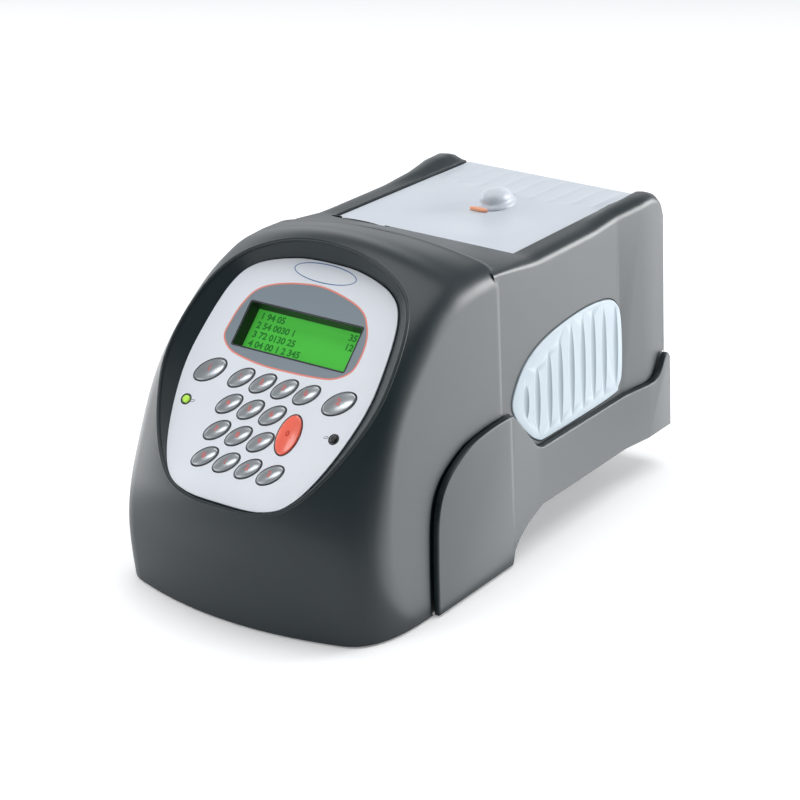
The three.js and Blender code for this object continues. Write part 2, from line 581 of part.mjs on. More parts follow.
function linerSolid() {
  const side = LID.halfWidth - LID.skirt - GAP;
  const front = LID_FRONT_Y + LID.skirt + GAP;
  const rear = HINGE.y - HINGE.earHalf - 2;
  const plate = box(-side, side, front, rear, LINER.top - LINER.thickness, LINER.top);
  return cut(plate, [-1, 1].map((x) => rod(
    [x * PIN_STEM.spacing, BLOCK.y, 0], [x * PIN_STEM.spacing, BLOCK.y, ABOVE_Z], PIN_STEM.radius + GAP)));
}

function heatedPlateSolid() {
  const half = blockWidth() / 2 + HEATED_PLATE.margin;
  const stems = [-1, 1].map((x) => rod([x * PIN_STEM.spacing, BLOCK.y, PLATE_TOP - 1],
    [x * PIN_STEM.spacing, BLOCK.y, LINER.top + 0.6], PIN_STEM.radius));
  return joined([box(-half, half, BLOCK.y - half, BLOCK.y + half, HEATED_PLATE.bottomZ, PLATE_TOP), ...stems]);
}

// A coil of round wire about an axis along Z, closed at both ends.
function coil(x, y, z0, z1, radius, wire, turns) {
  const points = [];
  const perTurn = 8;
  for (let i = 0; i <= turns * perTurn; i += 1) {
    const angle = (i / perTurn) * Math.PI * 2;
    points.push(new THREE.Vector3(x + radius * Math.cos(angle), y + radius * Math.sin(angle),
      THREE.MathUtils.lerp(z0 + wire, z1 - wire, i / (turns * perTurn))));
  }
  const path = new THREE.CatmullRomCurve3(points);
  const section = new THREE.Shape(new THREE.EllipseCurve(0, 0, wire, wire).getPoints(5).slice(0, -1));
  return new THREE.ExtrudeGeometry(section, { steps: turns * perTurn, bevelEnabled: false, extrudePath: path });
}

function latchSliderSolid() {
  const { y, halfWidth, halfLength, height } = LATCH;
  const bottom = LID_TOP_Z + TOUCH;
  const footprint = (shrink, forward) => levelLoop(
    ellipse({ u: 0, v: y + forward, halfLength: halfWidth - shrink, halfHeight: halfLength - shrink, turn: 0 },
      0, 20), 0);
  const levels = [[0, 0, 0], [0.3, 0, 0.25], [1.6, 0, 0.6], [4, 0.6, 0.86], [7.5, 1.2, 1]];
  const dome = loft(levels.map(([shrink, forward, share]) => (
    footprint(shrink, forward).map((point) => point.setZ(bottom + share * height)))));
  const neck = box(-LATCH.neckHalf, LATCH.neckHalf, y - LATCH.neckReach, y + LATCH.neckReach,
    LATCH.boltZ + LATCH.boltHeight + TOUCH, bottom + 1);
  return dome.add(neck);
}

function lidPieces() {
  const boltRear = LATCH.y + LATCH.neckReach;
  const springRear = boltRear + LATCH.springRoom;
  const bolt = box(-LATCH.boltHalf, LATCH.boltHalf, LID_FRONT_Y + LATCH.boltStart, boltRear,
    LATCH.boltZ, LATCH.boltZ + LATCH.boltHeight);
  const springZ = LATCH.boltZ + LATCH.boltHeight / 2;
  const latchSpring = coil(0, 0, 0, springRear - boltRear - 2 * TOUCH, 1.5, 0.35, 5)
    .rotateX(-Math.PI / 2).translate(0, boltRear + TOUCH, springZ);
  const springStop = box(-6, 6, springRear, springRear + LID.skirt, LINER.top + 0.5, LID_TOP_Z - 1);
  const plateSprings = [-1, 1].map((x) => coil(x * PIN_STEM.spacing, BLOCK.y, PLATE_TOP + TOUCH,
    LINER.top - LINER.thickness - TOUCH, PIN_STEM.radius + 1.3, 0.5, 3));
  return [
    meshOf('lid_cover', lidCoverSolid().add(springStop), white),
    meshOf('lid_liner', linerSolid(), black),
    meshOf('heated_plate', heatedPlateSolid(), aluminium),
    meshOf('plate_spring_left', solidOf(plateSprings[0]), steel),
    meshOf('plate_spring_right', solidOf(plateSprings[1]), steel),
    meshOf('latch_slider', latchSliderSolid(), white),
    meshOf('latch_bolt', bolt, steel),
    meshOf('latch_spring', solidOf(latchSpring), steel),
  ];
}

function fixedLidHardware() {
  const pins = [['left', -1], ['right', 1]].map(([name, side]) => {
    const inner = side * (LID.halfWidth - LID.skirt - 3);
    const outer = side * (LID.halfWidth + WALL + GAP);
    return meshOf(`hinge_pin_${name}`,
      rod([inner, HINGE.y, HINGE.z], [outer, HINGE.y, HINGE.z], HINGE.pinRadius), steel);
  });
  const keeper = box(-LATCH.boltHalf, LATCH.boltHalf, LID_FRONT_Y - GAP - KEEPER.thickness - 0.1, LID_FRONT_Y - GAP - 0.1,
    LATCH.boltZ - KEEPER.overlap, LATCH.boltZ + LATCH.boltHeight + KEEPER.overlap);
  return [...pins, meshOf('latch_keeper', keeper, steel)];
}

// ---------------------------------------------------------------- block, cooling and electronics

function blockWidth() {
  return WELL.pitch * (WELL.count - 1) + 2 * WELL.margin;
}

function wellCutter(x, y, top) {
  const profile = [[0, top - WELL.depth], [WELL.tipRadius, top - WELL.depth],
    [WELL.radius, top - WELL.straight], [WELL.radius, top + 1], [0, top + 1]];
  return solidOf(new THREE.LatheGeometry(profile.map((point) => new THREE.Vector2(...point)), 8)
    .rotateX(Math.PI / 2).translate(x, y, 0));
}

function thermalPieces() {
  const half = blockWidth() / 2;
  const top = DECK_Z - BLOCK.belowDeck;
  const bottom = top - BLOCK.height;
  const wells = [];
  for (let i = 0; i < WELL.count; i += 1) {
    for (let j = 0; j < WELL.count; j += 1) {
      const offset = (k) => (k - (WELL.count - 1) / 2) * WELL.pitch;
      wells.push(wellCutter(offset(i), BLOCK.y + offset(j), top));
    }
  }
  const block = box(-half, half, BLOCK.y - half, BLOCK.y + half, bottom, top).subtract(joined(wells));

  const peltierTop = bottom - TOUCH;
  const cell = box(-PELTIER.size / 2, PELTIER.size / 2, BLOCK.y - PELTIER.size / 2, BLOCK.y + PELTIER.size / 2,
    peltierTop - PELTIER.height, peltierTop);

  const sinkTop = peltierTop - PELTIER.height - TOUCH;
  const pitch = (SINK.width - SINK.fin) / (SINK.fins - 1);
  const comb = [[-SINK.width / 2, sinkTop], [-SINK.width / 2, sinkTop - SINK.height]];
  for (let i = 0; i < SINK.fins; i += 1) {
    const x = -SINK.width / 2 + i * pitch;
    if (i > 0) comb.push([x, sinkTop - SINK.base], [x, sinkTop - SINK.height]);
    comb.push([x + SINK.fin, sinkTop - SINK.height]);
    if (i < SINK.fins - 1) comb.push([x + SINK.fin, sinkTop - SINK.base]);
  }
  comb.push([SINK.width / 2, sinkTop]);
  const sink = along(comb, BLOCK.y - SINK.length / 2, BLOCK.y + SINK.length / 2);
  return [
    meshOf('sample_block', block, aluminium),
    meshOf('peltier_module', cell, ceramic),
    meshOf('heat_sink', sink, aluminium),
  ];
}

function fanPieces() {
  const { x, y, z, size, depth, hubRadius, bladeRadius, blades } = FAN;
  const half = size / 2;
  const spokes = [0, 1, 2].map((i) => {
    const angle = (i / 3) * Math.PI * 2 + Math.PI / 6;
    return rod([x, y + 1.2, z], [x + half * Math.cos(angle), y + 1.2, z + half * Math.sin(angle)], 1.1, 1.1, 6);
  });
  const ring = box(x - half, x + half, y, y + depth, z - half, z + half)
    .subtract(rod([x, y - 1, z], [x, y + depth + 1, z], half - 2.5, half - 2.5, 28));
  const frame = joined([ring, rod([x, y, z], [x, y + 2.4, z], hubRadius, hubRadius, 16), ...spokes]);
  const rotor = [rod([x, y + 3.2, z], [x, y + depth - 2, z], hubRadius, hubRadius, 16)];
  for (let i = 0; i < blades; i += 1) {
    const blade = new THREE.BoxGeometry(bladeRadius - hubRadius + 2, 1.2, 14)
      .rotateX(THREE.MathUtils.degToRad(52))
      .translate((bladeRadius + hubRadius - 2) / 2, 0, 0)
      .rotateY((i / blades) * Math.PI * 2)
      .translate(x, y + depth / 2 + 0.6, z);
    rotor.push(solidOf(blade));
  }
  return [meshOf('fan_frame', frame, black), meshOf('fan_rotor', joined(rotor), black)];
}

function electronics() {
  const floorTop = BASE_REAR_BOTTOM_Z + BASE_FLOOR + TOUCH;
  const boardZ = BASE_FRONT_BOTTOM_Z + BASE_FLOOR + BOARD.standoff + TOUCH;
  return [
    meshOf('power_supply', box(-SUPPLY.width / 2, SUPPLY.width / 2, SUPPLY.y - SUPPLY.length / 2,
      SUPPLY.y + SUPPLY.length / 2, floorTop, floorTop + SUPPLY.height), steel),
    meshOf('control_board', box(-BOARD.width / 2, BOARD.width / 2, BOARD.y - BOARD.length / 2,
      BOARD.y + BOARD.length / 2, boardZ, boardZ + BOARD.thickness), circuitGreen),
  ];
}

// ---------------------------------------------------------------- rear panel and what it holds

const PANEL_BACK = COVER_REAR_Y - WALL - TOUCH;      // the rear panel's outer face
const SHELL = 1.5;                                   // wall of a socket or switch housing

function socketBody({ x, z, width, height, flange, depth }) {
  const face = PANEL_BACK + TOUCH;
  return joined([
    box(x - width / 2, x + width / 2, face - depth, face + 0.5, z - height / 2, z + height / 2),
    box(x - width / 2 - flange, x + width / 2 + flange, face, face + FACE_PLATE, z - height / 2 - flange,
      z + height / 2 + flange),
  ]);
}

function fuseDrawerSize() {
  const front = PANEL_BACK + TOUCH + FACE_PLATE;
  return { halfWidth: INLET.width / 2 - SHELL - GAP, bottom: INLET.z - INLET.height / 2 + SHELL + GAP, height: 7,
    front, depth: INLET.depth - 4 };
}

function inletPieces() {
  const { x, z, width, height, depth } = INLET;
  const drawer = fuseDrawerSize();
  const front = drawer.front;
  const bay = box(x - drawer.halfWidth - GAP, x + drawer.halfWidth + GAP, front - drawer.depth - GAP, front + 1,
    drawer.bottom - GAP, drawer.bottom + drawer.height + GAP);
  const socketBottom = drawer.bottom + drawer.height + GAP + SHELL;
  const socketTop = z + height / 2 - SHELL;
  const cavity = box(x - width / 2 + SHELL, x + width / 2 - SHELL, front - depth + 4, front + 1,
    socketBottom, socketTop);
  const middle = (socketBottom + socketTop) / 2;
  const pins = MAINS_PINS.map(([px, pz]) => box(
    x + px - 1, x + px + 1, front - depth + 2, front - 5, middle + pz - 2.2, middle + pz + 2.2));
  const housing = joined([socketBody(INLET).subtract(bay).subtract(cavity), ...pins]);
  const drawerBody = box(x - drawer.halfWidth, x + drawer.halfWidth, front - drawer.depth, front,
    drawer.bottom, drawer.bottom + drawer.height);
  return [meshOf('mains_inlet', housing, black), meshOf('fuse_drawer', drawerBody, black)];
}

function switchPieces() {
  const { x, z, width, height, tilt } = SWITCH;
  const front = PANEL_BACK + TOUCH + FACE_PLATE;
  const inner = { side: width / 2 - SHELL, rise: height / 2 - SHELL };
  const housing = socketBody(SWITCH).subtract(box(x - inner.side, x + inner.side, 0, front + 5,
    z - inner.rise, z + inner.rise));
  const half = inner.rise - 1;
  const outline = [[-5, -half + 0.8], [2.6, -half], [1.2, 0], [2.6, half], [-5, half - 0.8]]
    .map((point) => new THREE.Vector2(...point).rotateAround(new THREE.Vector2(), THREE.MathUtils.degToRad(tilt)))
    .map((point) => [point.x + front - 2.5, point.y + z]);
  const rocker = across(outline, x - inner.side + GAP, x + inner.side - GAP);
  return [meshOf('switch_housing', housing, black), meshOf('switch_rocker', rocker, black)];
}

function portSolid() {
  const { x, z, width, height, shellWidth, shellHeight, reach } = PORT;
  const face = PANEL_BACK + TOUCH;
  const flange = box(x - width / 2, x + width / 2, face, face + 1, z - height / 2, z + height / 2);
  const shell = box(x - shellWidth / 2, x + shellWidth / 2, face - 5, face + reach - 1.9,
    z - shellHeight / 2, z + shellHeight / 2);
  const cavity = box(x - shellWidth / 2 + 1, x + shellWidth / 2 - 1, face - 3, face + reach + 1,
    z - shellHeight / 2 + 1, z + shellHeight / 2 - 1);
  return flange.add(shell).subtract(cavity);
}

function rearPieces() {
  const { halfWidth, bottomZ, topZ, thickness } = REAR_PANEL;
  const back = PANEL_BACK;
  const hole = (x, z, width, height) => box(x - width / 2 - GAP, x + width / 2 + GAP, back - 5, back + 5,
    z - height / 2 - GAP, z + height / 2 + GAP);
  const screwSpots = [-1, 1].flatMap((side) => [bottomZ + SCREW.inset, topZ - SCREW.inset]
    .map((z) => [side * SCREW.x, z]));
  const slots = [];
  for (let offset = -3 * VENT.pitch; offset <= 3 * VENT.pitch; offset += VENT.pitch) {
    const reach = Math.sqrt(VENT.reach ** 2 - offset ** 2);
    slots.push(box(FAN.x + offset - VENT.halfWidth, FAN.x + offset + VENT.halfWidth, back - 5, back + 5, FAN.z - reach, FAN.z + reach));
  }
  const panel = cut(box(-halfWidth, halfWidth, back - thickness, back, bottomZ, topZ), [
    hole(INLET.x, INLET.z, INLET.width, INLET.height),
    hole(SWITCH.x, SWITCH.z, SWITCH.width, SWITCH.height),
    hole(PORT.x, PORT.z, PORT.shellWidth, PORT.shellHeight),
    ...slots,
    ...screwSpots.map(([x, z]) => rod([x, back - 5, z], [x, back + 5, z], SCREW.shankRadius + GAP)),
  ]);
  const screws = screwSpots.map(([x, z], i) => meshOf(`rear_screw_${i + 1}`, joined([
    rod([x, back + TOUCH, z], [x, back + TOUCH + SCREW.headHeight, z], SCREW.headRadius, SCREW.headRadius - 0.6),
    rod([x, back - SCREW.shank, z], [x, back + TOUCH + 0.4, z], SCREW.shankRadius, SCREW.shankRadius, 12),
  ]), steel));
  return [meshOf('rear_panel', panel, charcoal), ...inletPieces(), ...switchPieces(),
    meshOf('serial_port', portSolid(), steel), ...screws];
}

function feet() {
  return [['left', -1], ['right', 1]].flatMap(([name, side]) => [
    meshOf(`front_foot_${name}`, rod([side * FRONT_FOOT.x, FRONT_FOOT.y, 0],
      [side * FRONT_FOOT.x, FRONT_FOOT.y, BASE_FRONT_BOTTOM_Z - TOUCH], FRONT_FOOT.radius), rubber),
    meshOf(`rear_foot_${name}`, rod([side * REAR_FOOT.x, REAR_FOOT.y, 0],
      [side * REAR_FOOT.x, REAR_FOOT.y, BASE_REAR_BOTTOM_Z - TOUCH], REAR_FOOT.footRadius, REAR_FOOT.radius),
    rubber),
  ]);
}

// ---------------------------------------------------------------- assembly

const cycler = new THREE.Group();
cycler.add(
  meshOf('upper_cover', coverSolid(), charcoal),
  meshOf('base_tray', baseSolid(), charcoal),
  meshOf('side_grip_left', gripSolid('left'), white),
  meshOf('side_grip_right', gripSolid('right'), white),
  panelGroup(),
  ...lidPieces(),
  ...fixedLidHardware(),
  ...thermalPieces(),
  ...fanPieces(),
  ...electronics(),
  ...rearPieces(),
  ...feet(),
);

export default cycler;
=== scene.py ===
"""Looks of a small bench-top thermal cycler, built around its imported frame.

Sizes are in millimetres, in the frame's own axes: +X to the right of the keypad, +Y to the rear
and +Z up, with the table at zero. Meshes are turned to metres as they are finished.
"""

from __future__ import annotations

import json
import logging
import math
from dataclasses import dataclass, field
from enum import Enum
from typing import Callable, Iterable, Sequence

import bmesh
import bpy
from mathutils import Matrix, Vector

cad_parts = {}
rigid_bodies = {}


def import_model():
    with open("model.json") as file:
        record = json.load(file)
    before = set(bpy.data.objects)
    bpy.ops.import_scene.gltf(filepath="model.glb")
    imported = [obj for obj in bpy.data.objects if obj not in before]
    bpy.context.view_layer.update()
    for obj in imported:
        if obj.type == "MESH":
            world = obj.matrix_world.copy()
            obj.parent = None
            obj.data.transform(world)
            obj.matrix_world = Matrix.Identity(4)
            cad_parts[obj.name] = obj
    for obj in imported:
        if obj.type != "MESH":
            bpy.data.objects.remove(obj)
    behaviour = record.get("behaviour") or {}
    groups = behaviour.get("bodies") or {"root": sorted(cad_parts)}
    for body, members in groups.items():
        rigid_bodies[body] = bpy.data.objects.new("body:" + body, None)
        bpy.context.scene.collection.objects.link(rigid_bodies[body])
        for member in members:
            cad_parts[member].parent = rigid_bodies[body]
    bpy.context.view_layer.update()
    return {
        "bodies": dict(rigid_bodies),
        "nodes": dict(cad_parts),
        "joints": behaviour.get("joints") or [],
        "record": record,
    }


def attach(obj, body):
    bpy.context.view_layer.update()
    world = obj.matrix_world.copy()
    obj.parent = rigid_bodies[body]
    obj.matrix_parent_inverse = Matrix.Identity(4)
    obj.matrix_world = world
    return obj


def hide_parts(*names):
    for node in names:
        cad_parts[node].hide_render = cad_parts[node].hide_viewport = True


LOG = logging.getLogger("thermal_cycler")
MM = 0.001
TINY = 1e-4
SHARP = math.radians(30)
RIGHT_ANGLE = math.pi / 2

Outline = list[Vector]
Surface = Callable[[float, float], Vector]


# ---------------------------------------------------------------------------- colour and nodes


def linear(hex_colour: str) -> tuple[float, float, float, float]:
    """Turns an sRGB hex value to linear colour.

    Args:
        hex_colour: Six hex digits.

    Returns:
        Linear red, green, blue and an alpha of 1.
    """
    channels = [int(hex_colour[i : i + 2], 16) / 255 for i in (0, 2, 4)]
    red, green, blue = [c / 12.92 if c <= 0.04045 else ((c + 0.055) / 1.055) ** 2.4 for c in channels]
    return red, green, blue, 1.0


def node(tree: bpy.types.NodeTree, kind: str, settings: dict | None = None,
         **sockets: object) -> bpy.types.Node:
    """Adds a node, sets it up and links it.

    Args:
        tree: The node tree that gets the node.
        kind: The node's type name.
        settings: Attributes of the node itself.
        **sockets: Input values or output sockets, by input name with _ for a space, or in_N by number.

    Returns:
        The new node.
    """
    made = tree.nodes.new(kind)
    for name, value in (settings or {}).items():
        setattr(made, name, value)
    for name, value in sockets.items():
        key = int(name[3:]) if name.startswith("in_") else name.replace("_", " ")
        socket = made.inputs[key]
        if isinstance(value, bpy.types.NodeSocket):
            tree.links.new(value, socket)
        else:
            socket.default_value = value
    return made


@dataclass(frozen=True)
class Finish:
    """A moulded, painted or metal finish with its grain, tone variation and gloss.

    Attributes:
        name: What the material is, in a maker's words.
        slot: The record's material slot it stands for.
        colour: Main colour, sRGB hex.
        second: Colour that the slow variation moves towards, sRGB hex.
        roughness: Middle of the roughness range.
        spread: How far roughness moves either way with the grain.
        metallic: 1 for bare metal, 0 for the rest.
        ior: Index of refraction; left at the default for a metal.
        grain: Size of the surface grain in mm.
        relief: Height of the grain in mm.
        patch: Size of the slow tone variation in mm.
        stretch: How much longer the grain is along X than across it.
        coat: Weight of a clear coat.
        coat_roughness: Roughness of that coat.
    """

    name: str
    slot: str
    colour: str
    second: str
    roughness: float = 0.4
    spread: float = 0.05
    metallic: float = 0.0
    ior: float = 1.5
    grain: float = 0.6
    relief: float = 0.01
    patch: float = 40.0
    stretch: float = 1.0
    coat: float = 0.0
    coat_roughness: float = 0.1

    def build(self) -> bpy.types.Material:
        """Makes the material.

        Returns:
            The node material.
        """
        material = bpy.data.materials.get(self.name)
        if material:
            return material
        material = bpy.data.materials.new(self.name)
        material.use_nodes = True
        tree = material.node_tree
        shader = tree.nodes["Principled BSDF"]
        place = node(tree, "ShaderNodeTexCoord").outputs["Object"]
        scaled = node(tree, "ShaderNodeMapping", None, Vector=place, Scale=(1.0, self.stretch, self.stretch))
        grain = node(tree, "ShaderNodeTexNoise", None, Vector=scaled.outputs["Vector"],
                     Scale=1 / (self.grain * MM), Detail=3.0, Roughness=0.6)
        slow = node(tree, "ShaderNodeTexNoise", None, Vector=place, Scale=1 / (self.patch * MM), Detail=2.0)
        tone = node(tree, "ShaderNodeMix", {"data_type": "RGBA"}, Factor=slow.outputs["Fac"])
        tone.inputs[6].default_value = linear(self.colour)
        tone.inputs[7].default_value = linear(self.second)
        gloss = node(tree, "ShaderNodeMapRange", None, Value=grain.outputs["Fac"],
                     To_Min=max(0.02, self.roughness - self.spread),
                     To_Max=min(1.0, self.roughness + self.spread))
        bump = node(tree, "ShaderNodeBump", None, Height=grain.outputs["Fac"], Distance=self.relief * MM,
                    Strength=1.0)
        tree.links.new(tone.outputs[2], shader.inputs["Base Color"])
        tree.links.new(gloss.outputs["Result"], shader.inputs["Roughness"])
        tree.links.new(bump.outputs["Normal"], shader.inputs["Normal"])
        shader.inputs["Metallic"].default_value = self.metallic
        if not self.metallic:
            shader.inputs["IOR"].default_value = self.ior
        shader.inputs["Coat Weight"].default_value = self.coat
        shader.inputs["Coat Roughness"].default_value = self.coat_roughness
        return material


class Finishes(Enum):
    """The object's own finishes."""

    # Injection-moulded ABS with a spark-eroded texture, drawn coarser than it is so that it shows: satin,
    # with soft broad reflections. The index is a little under ABS's 1.54, as the real case mirrors less.
    CASE = Finish("charcoal_abs", "case", "1E282D", "1B2529", 0.38, 0.05, ior=1.44, grain=0.7,
                  relief=0.012, patch=60)
    # The same ABS in white with a finer texture: a plain even sheen. It is set darker than a real white part,
    # because it lies flat under the strong top light.
    WHITE = Finish("white_abs", "white_trim", "C3C9D1", "BBC2CC", 0.38, 0.04, grain=0.5, relief=0.006,
                   patch=50)
    # The white ABS once more, set darker still as painted shade, so that the grooves keep their shading in
    # the side light.
    GRIP = Finish("shaded_white_abs", "white_trim", "8F9CA4", "8996A0", 0.42, 0.04, grain=0.5, relief=0.006,
                  patch=50)
    # Polyester film with a matt lacquer: a flat pale face without clear reflections.
    OVERLAY = Finish("printed_polyester", "overlay", "DDE1E8", "D7DCE4", 0.42, 0.04, grain=0.35, relief=0.003)
    # Screen-printed inks on the film: dull flat colours, each a little rougher than the lacquer.
    SURROUND = Finish("grey_screen_print", "overlay", "7B878F", "74808A", 0.45, 0.04, grain=0.35,
                      relief=0.003)
    ACCENT = Finish("coral_screen_print", "overlay", "E2887A", "D97F70", 0.45, 0.04, grain=0.35, relief=0.002)
    INK = Finish("grey_screen_ink", "overlay", "6C757C", "5F686F", 0.5, 0.04, grain=0.35, relief=0.002)
    BLUE_INK = Finish("blue_screen_ink", "overlay", "3F6A9C", "3A6292", 0.5, 0.04, grain=0.35, relief=0.002)
    # Plastic filled with silver flake under a thin lacquer: half metallic, light on one flank of each key.
    KEY = Finish("silver_flake_plastic", "key_grey", "A6ABAF", "959BA0", 0.3, 0.06, metallic=0.55, grain=0.3,
                 relief=0.004, patch=6, coat=0.3)
    # Solid coral plastic under the same lacquer: a clear small highlight.
    KEY_RED = Finish("coral_plastic", "key_red", "F0705C", "E5604C", 0.32, 0.05, grain=0.3, relief=0.004,
                     patch=8,
                     coat=0.3)
    # Pad-printed ink on the keys: dull against the lacquer.
    LEGEND = Finish("coral_legend_ink", "key_grey", "D0706E", "C46462", 0.45, 0.04, grain=0.3, relief=0.001)
    LEGEND_RED = Finish("dark_red_legend_ink", "key_red", "C0342A", "B02C22", 0.45, 0.04, grain=0.3,
                        relief=0.001)
    # Moulded ABS in pale orange: a small satin mark in the white lid.
    MARK = Finish("orange_abs", "key_red", "E8A27C", "E29972", 0.4, 0.04, grain=0.4, relief=0.004, patch=8)
    # Moulded polyamide: near black, with a soft grey sheen. It also serves for painted shade: in the finger
    # gap and round the panel's openings.
    BLACK = Finish("black_polyamide", "black_plastic", "141517", "1A1B1D", 0.45, 0.06, grain=0.6, relief=0.01)
    # Pressed rubber: black and almost without gloss.
    RUBBER = Finish("black_rubber", "rubber", "1A1B1C", "222324", 0.8, 0.08, grain=0.9, relief=0.02)
    # Milled aluminium: fine tool lines along X that streak the reflections.
    ALUMINIUM = Finish("milled_aluminium", "aluminium", "C9CCCF", "BDC1C5", 0.3, 0.08, metallic=1.0,
                       grain=0.4,
                       relief=0.006, stretch=0.08)
    # Zinc-plated steel: bright, with small hard glints.
    STEEL = Finish("plated_steel", "steel", "B9BEC3", "ABB1B6", 0.26, 0.07, metallic=1.0, grain=0.5,
                   relief=0.004)
    # Powder-coated sheet: dark grey with a slight orange peel.
    PANEL = Finish("powder_coated_steel", "panel", "474D51", "3F4549", 0.5, 0.07, grain=0.9, relief=0.02)
    # Epoxy laminate under solder mask: glossy dark green.
    BOARD = Finish("solder_masked_laminate", "circuit_board", "1E5A3C", "184C32", 0.4, 0.06, grain=1.5,
                   relief=0.01)
    # Folded aluminium sheet: even and softly metallic.
    SUPPLY = Finish("folded_aluminium_sheet", "supply_case", "B4B8BB", "A8ACB0", 0.35, 0.07, metallic=1.0,
                    grain=0.6, relief=0.004)
    # Fired alumina: chalky white.
    CERAMIC = Finish("white_alumina", "ceramic", "ECEAE3", "E2E0D8", 0.55, 0.05, grain=0.4, relief=0.006)


# ---------------------------------------------------------------------------- mesh helpers


def smoothstep(t: float) -> float:
    """Eases 0..1 with flat ends.

    Args:
        t: The share, held within 0..1.

    Returns:
        The eased share.
    """
    t = min(1.0, max(0.0, t))
    return t * t * (3 - 2 * t)


def mix(a: float, b: float, t: float) -> float:
    """Value between a and b."""
    return a + (b - a) * t


def piecewise(table: Sequence[tuple[float, float]], x: float) -> float:
    """Height of a broken line at x.

    Args:
        table: Points in order of x.
        x: Where to read it.

    Returns:
        The height there, held level past the ends.
    """
    if x <= table[0][0]:
        return table[0][1]
    for (x0, y0), (x1, y1) in zip(table, table[1:]):
        if x <= x1:
            return mix(y0, y1, (x - x0) / (x1 - x0))
    return table[-1][1]


def catmull_rom(points: Sequence[Vector], steps: int) -> list[Vector]:
    """Samples an open uniform Catmull-Rom curve through points.

    Args:
        points: The points it passes through.
        steps: Samples along the whole curve.

    Returns:
        steps + 1 points.
    """
    samples = []
    last = len(points) - 1
    for k in range(steps + 1):
        at = last * k / steps
        i = min(int(at), last - 1)
        t = at - i
        p0, p1, p2, p3 = (points[min(last, max(0, i + j))] for j in (-1, 0, 1, 2))
        v0, v1 = (p2 - p0) * 0.5, (p3 - p1) * 0.5
        square, cube = p1 * -3 + p2 * 3 - v0 * 2 - v1, p1 * 2 - p2 * 2 + v0 + v1
        samples.append(p1 + v0 * t + square * t * t + cube * t**3)
    return samples


def closed_samples(ring: Outline, steps: int) -> Outline:
    """Samples a closed Catmull-Rom curve.

    Args:
        ring: The points it passes through, each once.
        steps: Samples between two of them.

    Returns:
        The samples, from the first point round to just before it.
    """
    lead = 3
    padded = [*ring[-lead:], *ring, *ring[: lead + 1]]
    samples = catmull_rom(padded, (len(padded) - 1) * steps)
    return samples[lead * steps : (lead + len(ring)) * steps]


def ellipse(half_u: float, half_v: float, count: int, turn: float = 0.0, at: Vector | None = None) -> Outline:
    """Points of a turned ellipse, anticlockwise.

    Args:
        half_u: Half its first axis.
        half_v: Half its second axis.
        count: Number of points.
        turn: Degrees it is turned by.
        at: Its centre.

    Returns:
        The points, in the plane.
    """
    centre = at or Vector((0, 0))
    spin = Matrix.Rotation(math.radians(turn), 2)
    ring = [2 * math.pi * i / count for i in range(count)]
    return [centre + spin @ Vector((half_u * math.cos(a), half_v * math.sin(a))) for a in ring]


def rounded_box_outline(width: float, height: float, radius: float, count: int,
                        at: Vector | None = None) -> Outline:
    """Rectangle with round corners, anticlockwise.

    Args:
        width: Size along u.
        height: Size along v.
        radius: Corner radius.
        count: Segments in each corner.
        at: Its centre.

    Returns:
        The points, in the plane.
    """
    centre = at or Vector((0, 0))
    points = []
    for quarter, (su, sv) in enumerate(((1, 1), (-1, 1), (-1, -1), (1, -1))):
        corner = centre + Vector((su * (width / 2 - radius), sv * (height / 2 - radius)))
        for k in range(count + 1):
            angle = RIGHT_ANGLE * (quarter + k / count)
            points.append(corner + Vector((math.cos(angle), math.sin(angle))) * radius)
    return points


def grown(outline: Outline, amount: float | Callable[[Vector], float]) -> Outline:
    """Pushes an anticlockwise outline outwards.

    Args:
        outline: The points.
        amount: How far, or a function of each point's outward normal.

    Returns:
        The moved points.
    """
    count = len(outline)
    result = []
    for i, point in enumerate(outline):
        run = outline[(i + 1) % count] - outline[i - 1]
        normal = Vector((run.y, -run.x)).normalized()
        result.append(point + normal * (amount(normal) if callable(amount) else amount))
    return result


def mapped_grid(bm: bmesh.types.BMesh, columns: int, rows: int, surface: Surface) -> None:
    """Makes a grid and lays it on a surface.

    Args:
        bm: The mesh that gets it.
        columns: Faces along the first way.
        rows: Faces along the second way.
        surface: Position for (0..1, 0..1).
    """
    for vert in bmesh.ops.create_grid(bm, x_segments=columns, y_segments=rows, size=0.5)["verts"]:
        vert.co = surface(vert.co.x + 0.5, vert.co.y + 0.5)


def tube_through(loops: Sequence[Sequence[Vector]], capped: bool = True) -> bmesh.types.BMesh:
    """Skin through closed loops of equal count.

    Args:
        loops: The loops in order.
        capped: Whether both ends are filled.

    Returns:
        The mesh, its faces pointing outwards.
    """
    bm = bmesh.new()
    count, rows = len(loops[0]), len(loops) - 1

    def surface(u: float, v: float) -> Vector:
        """Point of the loops at (u, v)."""
        return loops[round(v * rows)][round(u * count) % count]

    mapped_grid(bm, count, rows, surface)
    bmesh.ops.remove_doubles(bm, verts=bm.verts, dist=TINY)
    if capped:
        bmesh.ops.holes_fill(bm, edges=bm.edges, sides=0)
    bmesh.ops.recalc_face_normals(bm, faces=bm.faces)
    return bm


def prism(outline: Outline, low: float, high: float) -> bmesh.types.BMesh:
    """Outline in the XY plane, extruded along Z.

    Args:
        outline: The points.
        low: Height of its underside.
        high: Height of its top.

    Returns:
        The mesh.
    """
    bm = bmesh.new()
    face = bm.faces.new([bm.verts.new((p.x, p.y, low)) for p in outline])
    raised = bmesh.ops.extrude_face_region(bm, geom=[face])["geom"]
    tops = [g for g in raised if isinstance(g, bmesh.types.BMVert)]
    bmesh.ops.translate(bm, verts=tops, vec=(0, 0, high - low))
    bmesh.ops.recalc_face_normals(bm, faces=bm.faces)
    return bm


